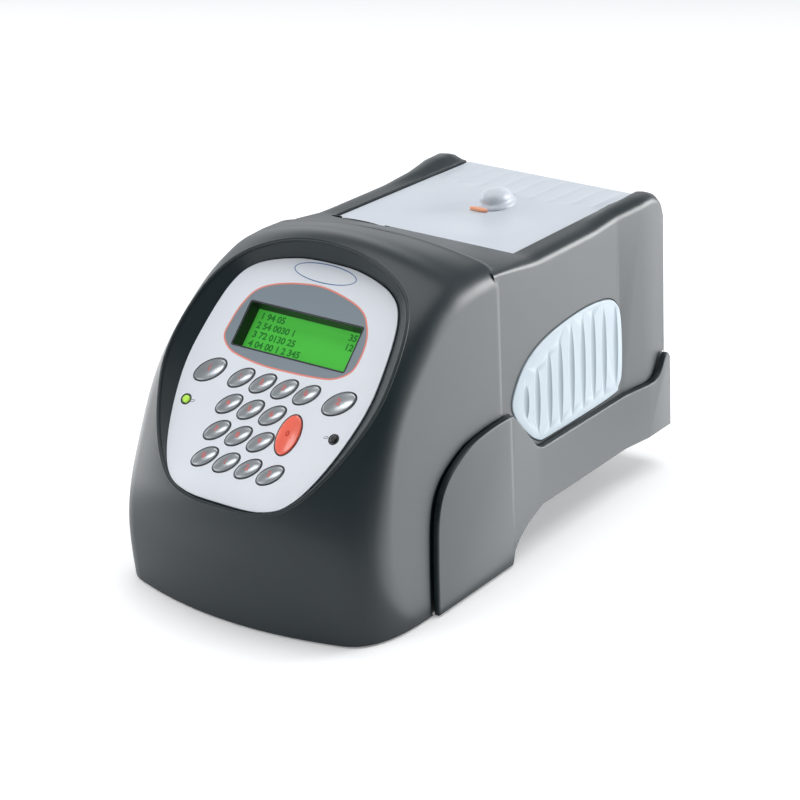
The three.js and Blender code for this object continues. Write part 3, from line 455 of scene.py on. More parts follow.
def block(low: Sequence[float], high: Sequence[float], radius: float = 0.0,
          segments: int = 3) -> bmesh.types.BMesh:
    """Box between two corners, its edges rounded if a radius is given.

    Args:
        low: Lowest corner.
        high: Highest corner.
        radius: Edge radius.
        segments: Steps in each rounded edge.

    Returns:
        The mesh.
    """
    bm = bmesh.new()
    lo, hi = Vector(low), Vector(high)
    size = hi - lo
    place = Matrix.Translation((lo + hi) / 2) @ Matrix.Diagonal((*size, 1))
    bmesh.ops.create_cube(bm, size=1, matrix=place)
    if radius:
        soften(bm, radius, segments)
    return bm


def drum(start: Vector, end: Vector, radius: float, sides: int = 32) -> bmesh.types.BMesh:
    """Round bar between two points.

    Args:
        start: Middle of the first end.
        end: Middle of the other.
        radius: Its radius.
        sides: Points round it.

    Returns:
        The mesh.
    """
    bm = bmesh.new()
    run = end - start
    turn = Vector((0, 0, 1)).rotation_difference(run.normalized()).to_matrix().to_4x4()
    bmesh.ops.create_cone(bm, cap_ends=True, segments=sides, radius1=radius, radius2=radius, depth=run.length,
                          matrix=Matrix.Translation((start + end) / 2) @ turn)
    return bm


def bevel(bm: bmesh.types.BMesh, edges: Iterable[bmesh.types.BMEdge], width: float, segments: int) -> None:
    """Rounds the given edges.

    Args:
        bm: The mesh.
        edges: The edges to round.
        width: Edge radius.
        segments: Steps in each edge.
    """
    bmesh.ops.bevel(bm, geom=list(edges), offset=width, offset_type="OFFSET", segments=segments, profile=0.5,
                    affect="EDGES", clamp_overlap=True, material=-1)


def soften(bm: bmesh.types.BMesh, width: float, segments: int) -> None:
    """Rounds every sharp edge.

    Args:
        bm: The mesh.
        width: Edge radius.
        segments: Steps in each edge.
    """
    sharp = [e for e in bm.edges if len(e.link_faces) == 2 and e.calc_face_angle() > SHARP]
    bevel(bm, sharp, width, segments)


def joined(*parts: bmesh.types.BMesh) -> bmesh.types.BMesh:
    """Puts several meshes into the first one.

    Args:
        *parts: The meshes; all but the first are freed.

    Returns:
        The first mesh.
    """
    whole = parts[0]
    for part in parts[1:]:
        spare = bpy.data.meshes.new("spare")
        part.to_mesh(spare)
        part.free()
        whole.from_mesh(spare)
        bpy.data.meshes.remove(spare)
    return whole


def object_of(name: str, bm: bmesh.types.BMesh) -> bpy.types.Object:
    """Turns a mesh in millimetres to an object in metres, at the origin.

    Args:
        name: The object's name.
        bm: The mesh, which is freed.

    Returns:
        The object, linked to the scene.
    """
    bmesh.ops.scale(bm, vec=(MM, MM, MM), verts=bm.verts)
    mesh = bpy.data.meshes.new(name)
    bm.to_mesh(mesh)
    bm.free()
    made = bpy.data.objects.new(name, mesh)
    bpy.context.scene.collection.objects.link(made)
    return made


def carved(base: bmesh.types.BMesh, cutters: Sequence[bmesh.types.BMesh],
           how: str = "DIFFERENCE") -> bmesh.types.BMesh:
    """Cuts meshes out of a mesh, or keeps what they share.

    Args:
        base: What is cut.
        cutters: What it is cut by, all freed.
        how: DIFFERENCE, INTERSECT or UNION.

    Returns:
        The result, in millimetres.
    """
    target = object_of("carve_base", base)
    tools = [object_of("carve_tool", cutter) for cutter in cutters]
    for tool in tools:
        modifier = target.modifiers.new("carve", "BOOLEAN")
        modifier.operation = how
        modifier.solver = "EXACT"
        modifier.object = tool
    graph = bpy.context.evaluated_depsgraph_get()
    result = bmesh.new()
    result.from_mesh(target.evaluated_get(graph).to_mesh())
    for spare in (target, *tools):
        mesh = spare.data
        bpy.data.objects.remove(spare)
        bpy.data.meshes.remove(mesh)
    bmesh.ops.scale(result, vec=(1 / MM,) * 3, verts=result.verts)
    bmesh.ops.remove_doubles(result, verts=result.verts, dist=TINY * 10)
    bmesh.ops.dissolve_degenerate(result, edges=result.edges, dist=TINY * 10)
    return result


@dataclass
class Piece:
    """A finished piece: its mesh, what it rides on and what it stands for.

    Attributes:
        name: The piece's name.
        mesh: The mesh in millimetres.
        finish: Its finish, or a ready material.
        body: The body it rides on.
        stands_for: CAD nodes that it replaces.
        smooth: Edges that turn by less than this many degrees are shaded smooth.
        slot: Material slot, if the finish doesn't say it; not used.
    """

    name: str
    mesh: bmesh.types.BMesh
    finish: Finishes | bpy.types.Material
    body: str = "case"
    stands_for: tuple[str, ...] = ()
    smooth: float = 35.0
    slot: str | None = None

    def place(self) -> None:
        """Makes the object, dresses it and hangs it on its body."""
        made = object_of(self.name, self.mesh)
        smooth_by_angle(made.data, self.smooth)
        ready = isinstance(self.finish, bpy.types.Material)
        made.data.materials.append(self.finish if ready else self.finish.value.build())
        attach(made, self.body)
        self.slot or ("case" if ready else self.finish.value.slot)
        if self.stands_for:
            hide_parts(*self.stands_for)
        LOG.info("%s: %d faces on %s", self.name, len(made.data.polygons), self.body)


def smooth_by_angle(mesh: bpy.types.Mesh, degrees: float) -> None:
    """Shades a mesh smooth, but for its sharp edges.

    Args:
        mesh: The mesh.
        degrees: An edge is sharp where its faces turn by this much or more.
    """
    bm = bmesh.new()
    bm.from_mesh(mesh)
    for face in bm.faces:
        face.smooth = True
    for edge in bm.edges:
        edge.smooth = len(edge.link_faces) == 2 and edge.calc_face_angle() < math.radians(degrees)
    bm.to_mesh(mesh)
    bm.free()


def turned(bm: bmesh.types.BMesh, matrix: Matrix) -> bmesh.types.BMesh:
    """Moves a whole mesh.

    Args:
        bm: The mesh.
        matrix: What moves it.

    Returns:
        The same mesh.
    """
    bmesh.ops.transform(bm, matrix=matrix, verts=bm.verts)
    return bm


def across(outline: Outline, x0: float, x1: float) -> bmesh.types.BMesh:
    """Outline in (y, z), drawn out along X.

    Args:
        outline: The points.
        x0: Where it starts.
        x1: Where it ends.

    Returns:
        The mesh.
    """
    return turned(prism(outline, x0, x1), Matrix(((0, 0, 1, 0), (1, 0, 0, 0), (0, 1, 0, 0), (0, 0, 0, 1))))


def ring_of(outer: Outline, inner: Outline, low: float, high: float) -> bmesh.types.BMesh:
    """Flat ring between two outlines of equal count.

    Args:
        outer: Its outer edge.
        inner: Its inner edge.
        low: Height of its underside.
        high: Height of its top.

    Returns:
        The closed mesh.
    """
    def level(outline: Outline, height: float) -> list[Vector]:
        """Outline lifted to a height."""
        return [Vector((p.x, p.y, height)) for p in outline]

    loops = [level(outer, low), level(outer, high), level(inner, high), level(inner, low), level(outer, low)]
    return tube_through(loops, capped=False)


# ---------------------------------------------------------------------------- the casing's form


@dataclass
class CaseForm:
    """Surfaces that the cover, base, grips and lid share."""

    wall: float = 2.8
    gap: float = 0.35
    half_width: float = 91.5
    draft: float = 0.0717
    crease_y: float = -21.5
    crease_step: float = 0.6
    crease_radius: float = 16.0
    rear_y: float = 176.5
    shoulder_radius: float = 12.0
    rail_radius: float = 2.5
    rail_over: float = 8.5
    rail_down: float = 6.5
    rail_inner: float = 63.35
    rail_inner_drop: float = 0.9
    lid_top: float = 177.5
    low_across: float = 8.0
    low_down: float = 33.0
    flare_start: float = 124.5
    flare_end: float = 148.5
    flare_depth: float = 3.3
    lid_front_y: float = 24.0
    tuck: float = 0.2
    hood_centre: tuple = ((-171.5, 0), (-175.2, 37.5), (-178.5, 73.5), (-165.7, 112.7), (-143.3, 145.2),
                          (-115.2, 176.1), (-73.6, 198.5), (-49, 198), (-21.5, 192))
    hood_shoulder: tuple = ((-151, 0), (-155.4, 39.2), (-145.7, 82.2), (-128.1, 127.5), (-94.7, 161.3),
                            (-67.1, 176.4), (-43.8, 181.6), (-21.5, 183))
    crown_top: tuple = ((-21.5, 192), (2, 184.6), (24, 178))
    rail_top: tuple = ((-21.5, 180), (24, 177.8), (95, 178.4), (130, 181.2), (146, 182.5), (163, 183.2),
                       (170, 181.5), (174.5, 177.5), (176.5, 172))
    centre_table: list = field(default_factory=list)
    shoulder_table: list = field(default_factory=list)

    def __post_init__(self) -> None:
        """Turns both hood profiles to tables of radius by angle."""
        pairs = (self.hood_centre, self.centre_table), (self.hood_shoulder, self.shoulder_table)
        for profile, table in pairs:
            for p in catmull_rom([Vector(point) for point in profile], 400):
                run = self.crease_y - p.x
                table.append((math.atan2(p.y, run), math.hypot(p.y, run) - self.tuck))

    def flare(self, y: float) -> float:
        """How far the sides spread at y."""
        share = (y - self.flare_start) / (self.flare_end - self.flare_start)
        return self.flare_depth * min(1.0, max(0.0, share))

    def side(self, y: float, z: float) -> float:
        """Half width of the box behind the crease."""
        return self.half_width - self.crease_step - self.draft * z + self.flare(y)

    def half_section(self, crown: float, shoulder: float, wall_at: Callable[[float], float], over: float,
                     down: float, crown_steps: int, corner_steps: int) -> list[Vector]:
        """Half a section from the middle of the crown, over the shoulder and down the side.

        Args:
            crown: Height in the middle.
            shoulder: Height at the side.
            wall_at: Half width at a height.
            over: How far in the corner starts.
            down: How far down it ends.
            crown_steps: Segments in the crown.
            corner_steps: Segments in the corner.

        Returns:
            Points as (x, height).
        """
        wall = wall_at(shoulder)

        def crown_at(x: float) -> float:
            """Height of the crown at x."""
            return crown - (crown - shoulder) * (x / wall) ** 2

        across_crown = ((wall - over) * i / crown_steps for i in range(crown_steps))
        points = [Vector((x, crown_at(x))) for x in across_crown]
        start, knee = Vector((wall - over, crown_at(wall - over))), Vector((wall, shoulder))
        end = Vector((wall_at(shoulder - down), shoulder - down))
        for i in range(corner_steps + 1):
            t = i / corner_steps
            points.append(start * (1 - t) ** 2 + knee * 2 * t * (1 - t) + end * t * t)
        points.append(Vector((wall_at(0), 0)))
        return points

    def hood_section(self, angle: float, inset: float, steps: tuple[int, int]) -> list[Vector]:
        """Half a section of the hood, in the plane that turns about the foot of the crease.

        Args:
            angle: How far the plane is turned up from the table.
            inset: How far inside the outer surface.
            steps: Segments in crown and corner.

        Returns:
            Points as (x, distance from the foot of the crease).
        """
        low = max(0.0, 1 - angle / (math.pi / 4)) ** 2
        return self.half_section(
            piecewise(self.centre_table, angle) - inset, piecewise(self.shoulder_table, angle) - inset,
            lambda r: self.half_width - inset - self.draft * r * math.sin(angle),
            self.shoulder_radius + self.low_across * low, self.shoulder_radius + self.low_down * low, *steps)

    def hood(self, inset: float, rows: int, steps: tuple[int, int], roll: bool = False) -> bmesh.types.BMesh:
        """The hood as a closed body.

        Args:
            inset: How far inside the outer surface.
            rows: Sections between the table and the crease.
            steps: Segments in crown and corner.
            roll: Whether the rear edge rolls inwards.

        Returns:
            The mesh.
        """
        loops = []
        for i in range(rows + 1):
            angle = RIGHT_ANGLE * i / rows
            half = self.hood_section(angle, inset, steps)
            full = [Vector((-p.x, p.y)) for p in reversed(half[1:])] + half
            back, up = math.cos(angle), math.sin(angle)
            loops.append([Vector((p.x, self.crease_y - p.y * back, p.y * up)) for p in full])
        if roll:
            reach = self.crease_radius
            for turn in (*range(2, 19, 2), 21):
                sink = reach * (1 - math.cos(math.radians(turn)))
                half = self.hood_section(RIGHT_ANGLE, sink, steps)
                full = [Vector((-p.x, p.y)) for p in reversed(half[1:])] + half
                y = self.crease_y + reach * math.sin(math.radians(turn))
                loops.append([Vector((p.x, y, p.y)) for p in full])
        return tube_through(loops)

    def box(self, inset: float, steps: tuple[int, int]) -> bmesh.types.BMesh:
        """The box behind the hood as a closed body.

        Args:
            inset: How far inside the outer surface.
            steps: Segments in crown and corner.

        Returns:
            The mesh.
        """
        rounding = [y for y, _ in self.rail_top if self.flare_end < y < self.rear_y - inset]
        stations = [self.crease_y - 0.2, -16, -10, -4, 2, 8, 13, 18, self.lid_front_y - 0.4, self.lid_front_y,
                    *range(32, 121, 8), self.flare_start, self.flare_end, *rounding, self.rear_y - inset]
        loops = []
        for y in stations:
            crown = piecewise(self.rail_top if y > self.lid_front_y else self.crown_top, y) - inset
            grow = smoothstep((y - self.crease_y) / 60)
            half = self.half_section(crown, piecewise(self.rail_top, y) - inset,
                                     lambda z, at=y: self.side(at, z) - inset,
                                     mix(self.rail_radius, self.rail_over, grow) + inset,
                                     mix(self.rail_radius, self.rail_down, grow) + inset, *steps)
            if y >= self.lid_front_y:
                half = [self.rolled_rail(p, inset) for p in half]
            full = [Vector((-p.x, p.y)) for p in reversed(half[1:])] + half
            loops.append([Vector((p.x, y, p.y)) for p in full])
        return tube_through(loops)

    def rolled_rail(self, p: Vector, inset: float) -> Vector:
        """Lowers the top of the box's section towards the lid, so that its rail is rounded both ways.

        Args:
            p: Point of the section as (x, z).
            inset: How far inside the outer surface.

        Returns:
            The point, lowered if it lies on the rail.
        """
        low = self.lid_top + self.rail_inner_drop - inset
        if p.y <= low:
            return p
        return Vector((p.x, mix(low, p.y, smoothstep((p.x - self.rail_inner + 1) / 8))))

    def above_hood(self, point: Vector) -> float:
        """Height of a point above the hood's outer surface.

        Args:
            point: The point.

        Returns:
            The height along the line from the foot of the crease, negative inside the hood.
        """
        run = self.crease_y - point.y
        angle = min(RIGHT_ANGLE, math.atan2(point.z, run))
        half = self.hood_section(angle, 0, (16, 12))
        table = [(p.x, p.y) for p in half[:-1]]
        return math.hypot(point.z, run) - piecewise(table, abs(point.x))


FORM = CaseForm()


@dataclass
class PanelPlane:
    """The sloped keypad plane: u across, v up the slope and w out of it."""

    y: float = -125.5
    z: float = 127.5
    tilt: float = 46.7
    thickness: float = 0.8
    floor: float = -1.1
    half_outline: tuple = ((0, 79), (23, 77.3), (46, 69), (57, 54), (62, 24), (62, -4), (54, -38), (42, -62),
                           (26, -71), (0, -72.5))
    slope_side: float = 1.27
    slope_top: float = 0.65
    slope_foot: float = 1.2
    reach: float = 60.0
    display_v: float = 32.1
    display_width: float = 77.0
    display_height: float = 27.8

    def matrix(self) -> Matrix:
        """Turns (u, v, w) to the frame."""
        return Matrix.Translation((0, self.y, self.z)) @ Matrix.Rotation(math.radians(self.tilt), 4, "X")

    def outline(self, count: int = 160) -> Outline:
        """The overlay's outline.

        Args:
            count: Number of points.

        Returns:
            The points in (u, v), anticlockwise.
        """
        half = [Vector(p) for p in self.half_outline]
        ring = half + [Vector((-p.x, p.y)) for p in reversed(half[1:-1])]
        closed = closed_samples(ring, 16)
        step = len(closed) / count
        return [closed[int(i * step)] for i in reversed(range(count))]

    def window(self, grow: float, count: int = 6) -> Outline:
        """Outline of the display's opening, grown."""
        return rounded_box_outline(self.display_width + 2 * grow, self.display_height + 2 * grow,
                                   max(0.3, 0.8 + grow), count, Vector((0, self.display_v)))

    def slope(self, normal: Vector) -> float:
        """How much the recess opens for each millimetre of height, by the way its wall faces."""
        return mix(self.slope_side, self.slope_top if normal.y > 0 else self.slope_foot, normal.y**2)

    def recess(self, grow: float, count: int = 160) -> bmesh.types.BMesh:
        """The space over the panel's floor, opening outwards to the hood's surface.

        Args:
            grow: How much wider and deeper than the real recess.
            count: Points round it.

        Returns:
            The closed mesh.
        """
        loops = []
        for height, rise in ((self.floor - grow, 0.0), (self.floor + self.reach, self.reach)):
            flat = grown(self.outline(count), lambda n, r=rise: FORM.gap + grow + r * self.slope(n))
            loops.append([self.matrix() @ Vector((p.x, p.y, height)) for p in flat])
        return tube_through(loops)

    def rim(self) -> list[Vector]:
        """Where the recess's wall meets the hood's surface.

        Returns:
            The points, found by halving along each line of the wall.
        """
        outline, points = self.outline(), []
        walls = [grown(outline, lambda n, r=rise: FORM.gap + r * self.slope(n)) for rise in (0.0, self.reach)]
        for low, high in zip(*walls):
            start = self.matrix() @ Vector((low.x, low.y, self.floor))
            end = self.matrix() @ Vector((high.x, high.y, self.floor + self.reach))
            a, b = 0.0, 1.0
            for _ in range(24):
                middle = (a + b) / 2
                a, b = (a, middle) if FORM.above_hood(start.lerp(end, middle)) > 0 else (middle, b)
            points.append(start.lerp(end, a))
        return points


PANEL = PanelPlane()
GRIP_OUTLINE = ((-6.3, 100.5), (8.1, 117.5), (34, 127.4), (73.5, 131.7), (103, 130.3), (118, 125),
                (124.8, 113), (125.4, 80), (121, 69.6), (110, 65.2), (34.9, 64.6), (21, 66.8), (9, 75),
                (-3.5, 88))


def closed_curve(points: Sequence[tuple[float, float]], count: int) -> Outline:
    """Smooth closed outline through points.

    Args:
        points: What it passes through.
        count: Number of points in the result.

    Returns:
        The points, anticlockwise.
    """
    closed = closed_samples([Vector(p) for p in points], 20)
    area = sum(a.x * b.y - b.x * a.y for a, b in zip(closed, closed[1:] + closed[:1]))
    if area < 0:
        closed.reverse()
    return [closed[int(i * len(closed) / count)] for i in range(count)]


@dataclass
class Key:
    """One key of the keypad.

    Attributes:
        name: Its node and body.
        u: Across the panel.
        v: Up the slope.
        half_length: Half its long axis.
        half_height: Half its short axis.
        turn: Degrees it is turned by.
        legend: Number printed on it.
        red: Whether it is the red one.
    """

    name: str
    u: float
    v: float
    half_length: float = 8.2
    half_height: float = 4.3
    turn: float = 41.0
    legend: str = ""
    red: bool = False

    def outline(self, grow: float, count: int = 64) -> Outline:
        """Its outline, grown."""
        return ellipse(self.half_length + grow, self.half_height + grow, count, self.turn,
                       Vector((self.u, self.v)))

    def dome(self, share: float) -> float:
        """Height of its top at a share of the way from the middle to the rim."""
        return mix(1.5, 0.55, share**2.4)


def keys() -> list[Key]:
    """Every key of the panel.

    Returns:
        The small keys row by row, then the two large ones and the red one.
    """
    made, pitch_u, pitch_v = [], 15.0, 16.53
    for row in range(4):
        for column in range(4):
            if column == 3 and row in (1, 2):
                continue
            number = str((row * 3 + column + 1) % 10) if column < 3 else str(row)
            made.append(Key(f"key_row{row + 1}_col{column + 1}", (column - 1.5) * pitch_u, -pitch_v * row,
                            legend=number))
    made.append(Key("key_left", -44.4, 0, 10.1, 5.6, 38, legend="1"))
    made.append(Key("key_right", 44.4, 0, 10.1, 5.6, 38, legend="2"))
    made.append(Key("key_enter", 1.5 * pitch_u, -1.5 * pitch_v, 6.6, 12, 0, legend="0", red=True))
    return made


@dataclass(frozen=True)
class Light:
    """A small round indicator.

    Attributes:
        name: Its node.
        u: Across the panel.
        v: Up the slope.
        radius: Its radius.
        slot: Material slot.
    """

    name: str
    u: float
    v: float
    radius: float
    slot: str

    def outline(self, grow: float, count: int = 32) -> Outline:
        """Its outline, grown."""
        return ellipse(self.radius + grow, self.radius + grow, count, 0, Vector((self.u, self.v)))


LIGHTS = (Light("power_led", -51.0, -20.4, 2.2, "led_green"),
          Light("sensor_led", 50.6, -20.3, 2.0, "led_dark"))


# ---------------------------------------------------------------------------- sub-assemblies


@dataclass
class UpperCover:
    """The charcoal cover: hood, keypad recess, box and the bay under the lid."""

    ground_gap: float = 1.2
    reach: float = 360.0
    deck_z: float = 148.0
    foremost_y: float = -178.7
    lid_half: float = 63.0
    hinge_y: float = 164.0
    hinge_z: float = 163.0
    well_front: float = 140.0
    well_floor: float = 143.0
    well_wall: float = 147.0
    block_y: float = 100.0
    block_half: float = 24.35
    panel_half: float = 71.5
    panel_low: float = 51.0
    panel_high: float = 137.5
    pin_hole: float = 2.35
    grip_gap: float = 0.7
    grip_inner: float = 45.0
    bolt_slot: tuple = ((-9, 22, 169.5), (9, 24, 174.7))
    gap_half: tuple = (21.5, 4.2)
    liner_z: float = 173.8
    liner_rise: float = 0.45
    bead_radius: float = 1.25

    def bay(self, grow: float) -> list[bmesh.types.BMesh]:
        """Cutters for the bay under the lid and the well behind it.

        Args:
            grow: How much larger than the real bay.

        Returns:
            The cutters; their tops and steps never lie in one plane.
        """
        side, top = self.lid_half + FORM.gap + grow, 220
        front, rear = FORM.lid_front_y - FORM.gap - grow, FORM.rear_y - FORM.wall - grow
        return [
            block((-side, front, self.deck_z - grow), (side, self.well_front + grow + 1, top)),
            block((-side, self.well_front - grow, self.well_floor - grow), (side, rear, top + 1)),
            block((-side, self.well_front - grow + 0.01, self.well_wall), (side, FORM.rear_y + 10, top + 2)),
        ]

    def panel_cutters(self) -> list[bmesh.types.BMesh]:
        """Cutters through the panel's floor for keys, display and lights.

        Returns:
            One cutter for each opening.
        """
        low, high = PANEL.floor - 10, PANEL.floor + 10
        outlines = [key.outline(0.5, 40) for key in keys()]
        outlines += [light.outline(0.35, 24) for light in LIGHTS]
        outlines.append(PANEL.window(0, 4))
        return [turned(prism(outline, low, high), PANEL.matrix()) for outline in outlines]

    def build(self) -> None:
        """Makes the cover and the bead along its recess."""
        outer = carved(FORM.hood(0, 110, (44, 12), roll=True), [FORM.box(0, (40, 10))], "UNION")
        hollow = carved(FORM.hood(FORM.wall, 40, (16, 6)), [FORM.box(FORM.wall, (24, 4))], "UNION")
        hollow = carved(hollow, [PANEL.recess(FORM.wall, 80), *self.bay(FORM.wall)])
        wall, outside = FORM.wall, 120
        seat = grown(closed_curve(GRIP_OUTLINE, 120), self.grip_gap)
        pin_reach = self.lid_half + wall + 1
        cutters = [
            hollow, PANEL.recess(0), *self.bay(0), *self.panel_cutters(), *self.underside(),
            across(seat, -outside, -self.grip_inner), across(seat, self.grip_inner, outside),
            block((-self.block_half, self.block_y - self.block_half, self.deck_z - 10),
                  (self.block_half, self.block_y + self.block_half, self.deck_z + 5)),
            block((-self.panel_half, FORM.rear_y - wall - 5, self.panel_low),
                  (self.panel_half, FORM.rear_y + 5, self.panel_high)),
            drum(Vector((-pin_reach, self.hinge_y, self.hinge_z)),
                 Vector((pin_reach, self.hinge_y, self.hinge_z)), self.pin_hole),
            block(*self.bolt_slot), self.finger_gap(), BASE.shadow_gap(1), BASE.shadow_gap(-1),
        ]
        Piece("cover_shell", carved(outer, cutters), Finishes.CASE, stands_for=("upper_cover",),
              smooth=32).place()
        # A black sheet in the finger gap: painted shade.
        Piece("gap_liner", self.gap_liner(), Finishes.BLACK).place()
        Piece("recess_bead", self.bead(), Finishes.CASE, smooth=80).place()

    def underside(self) -> list[bmesh.types.BMesh]:
        """Cutters that open the cover below: at the table, between the cheeks, over the base and at the rear.

        Returns:
            The cutters, each reaching lower than the last so that no two share a plane.
        """
        reach = self.reach
        openings = ((-reach, reach, self.ground_gap), (-93.5, -17, 9), (-29, reach, 33.5),
                    (FORM.rear_y - FORM.wall - 2, reach, 45))
        return [block((-reach, front, -10 - 2 * i), (reach, rear, top))
                for i, (front, rear, top) in enumerate(openings)]

    def finger_gap(self) -> bmesh.types.BMesh:
        """Cutter for the lens-shaped gap at the lid's front left corner."""
        return prism(ellipse(*self.gap_half, 48, 0, self.gap_at()), 171.5, 185)

    def gap_at(self) -> Vector:
        """Middle of the finger gap."""
        return Vector((-42.5, FORM.lid_front_y - 3.2))

    def gap_liner(self) -> bmesh.types.BMesh:
        """Black sheet in the finger gap, rising to the lid's front edge: painted shade in the gap.

        Returns:
            The mesh.
        """
        half_x, half_y = (half - 0.1 for half in self.gap_half)
        shade_sheet = prism(ellipse(half_x, half_y, 48, 0, self.gap_at()), 172, self.liner_z)
        for vert in shade_sheet.verts:
            if vert.co.z > self.liner_z - 0.8:
                vert.co.z += self.liner_rise * (vert.co.y - FORM.lid_front_y + 7.3)
        return shade_sheet

    def bead(self, sides: int = 10) -> bmesh.types.BMesh:
        """Rounded lip that follows the recess's upper edge.

        Args:
            sides: Points round the lip.

        Returns:
            The closed mesh.
        """
        rim, loops, radius = PANEL.rim(), [], self.bead_radius
        centre = PANEL.matrix() @ Vector((0, 0, 0))
        for i, point in enumerate(rim):
            tangent = (rim[(i + 1) % len(rim)] - rim[i - 1]).normalized()
            out = (point - Vector((0, FORM.crease_y, 0))).normalized()
            away = tangent.cross(out).normalized()
            if away.dot(point - centre) < 0:
                away.negate()
            rise = away.cross(tangent).normalized()
            if rise.dot(out) < 0:
                rise.negate()
            heart = point - rise * radius * 0.5 + away * 0.1
            loops.append([heart + (away * math.cos(a) + rise * math.sin(a)) * radius
                          for a in (2 * math.pi * k / sides for k in range(sides))])
        for loop in loops:
            for spot in loop:
                spot.y = max(spot.y, self.foremost_y)
        loops.append(loops[0])
        return tube_through(loops, capped=False)


@dataclass
class BaseTray:
    """The charcoal base whose cheeks wrap the cover's sides."""

    wall: float = 3.6
    crease_y: float = -17.0
    floor: float = 3.0
    top_z: float = 62.8
    rear_bottom: float = 26.5
    front_bottom: float = 4.0
    cheek_front: float = -97.5
    edge: float = 1.1
    arch: tuple = ((-97.5, 1.2), (-96.5, 36), (-93.5, 62), (-83.5, 78), (-63, 89), (-41.5, 93), (-15, 93.5),
                   (-7, 89), (8, 73), (15, 66), (22, 62.8))
    tail: tuple = ((-21.5, 0), (-14.5, 3.2), (-7.5, 12.2), (-3.5, 13.7), (-0.5, 11), (0, 7.7))
    sweep: tuple = ((20, 26.5), (2, 20), (-11, 11), (-17, 1.2))
    half_inside: float = 88.5

    @property
    def rear(self) -> float:
        """Y of the rear face."""
        return FORM.rear_y + 2 - 0.05

    def outline(self) -> Outline:
        """Outline of a side wall.

        Returns:
            The points in (y, z): over the cheek, along the wall, up at the rear and back below.
        """
        over = catmull_rom([Vector(p) for p in self.arch], 90)
        up = catmull_rom([Vector((self.rear + y, self.top_z + z)) for y, z in self.tail], 24)
        under = catmull_rom([Vector(p) for p in self.sweep], 16)
        return [*over, *up, Vector((self.rear, self.rear_bottom)), *under][::-1]

    def offset(self, y: float, z: float) -> float:
        """Half width at the inner face of the base's wall."""
        rolled = smoothstep((y - self.crease_y) / 4.5)
        return FORM.half_width + FORM.gap - FORM.crease_step * rolled - FORM.draft * z + FORM.flare(y)

    def shadow_gap(self, side: int) -> bmesh.types.BMesh:
        """Cutter for the open joint in the cover round a cheek, widest at its front.

        Args:
            side: 1 for the right, -1 for the left.

        Returns:
            The cutter.
        """
        wide = grown(self.outline(), lambda n: mix(0.5, 3.4, smoothstep(-n.x)))
        bm = prism(wide, -1.9, 6)
        for vert in bm.verts:
            y, z, out = vert.co
            vert.co = Vector((side * (FORM.half_width - FORM.draft * z + FORM.flare(y) + out), y, z))
        bmesh.ops.recalc_face_normals(bm, faces=bm.faces)
        return bm

    def cheek(self, side: int) -> bmesh.types.BMesh:
        """One side wall.

        Args:
            side: 1 for the right, -1 for the left.

        Returns:
            The mesh, bent to the cover's side.
        """
        bm = prism(self.outline(), 0, self.wall)
        rim = [e for e in bm.edges if all(v.co.z > self.wall - TINY for v in e.verts)]
        bevel(bm, rim, self.edge, 4)
        cuts = [self.crease_y + 0.5 * k for k in range(10)] + [FORM.flare_start, FORM.flare_end]
        for y in cuts:
            bmesh.ops.bisect_plane(bm, geom=[*bm.verts, *bm.edges, *bm.faces], plane_co=(y, 0, 0),
                                   plane_no=(1, 0, 0), dist=TINY)
        for vert in bm.verts:
            y, z, out = vert.co
            vert.co = Vector((side * (self.offset(y, z) + out), y, z))
        bmesh.ops.recalc_face_normals(bm, faces=bm.faces)
        return bm

    def build(self) -> None:
        """Makes the base as one piece."""
        rear, low, high = self.rear, self.front_bottom, self.rear_bottom
        under = [(-190, low), (self.crease_y - 6, low), (14, high), (rear, high)]
        upper = [(rear, high), (12, high), (self.crease_y - 8, low), (-190, low)]
        side = [Vector(p) for p in under] + [Vector((y, z + self.floor)) for y, z in upper]
        front = carved(across(side, -100, 100), [FORM.hood(FORM.wall + 0.7, 60, (24, 8))], "INTERSECT")
        inside = self.half_inside
        floor_cut = block((-inside, self.cheek_front + 6, -5), (inside, rear - 0.1, 120))
        rear_part = carved(across(side, -100, 100), [floor_cut], "INTERSECT")
        wall = block((0.2 - inside, rear - self.wall, high), (inside - 0.2, rear, 43), 0.8)
        whole = joined(self.cheek(1), self.cheek(-1), front, rear_part, wall)
        Piece("base_shell", whole, Finishes.CASE, stands_for=("base_tray",), smooth=28).place()


BASE = BaseTray()


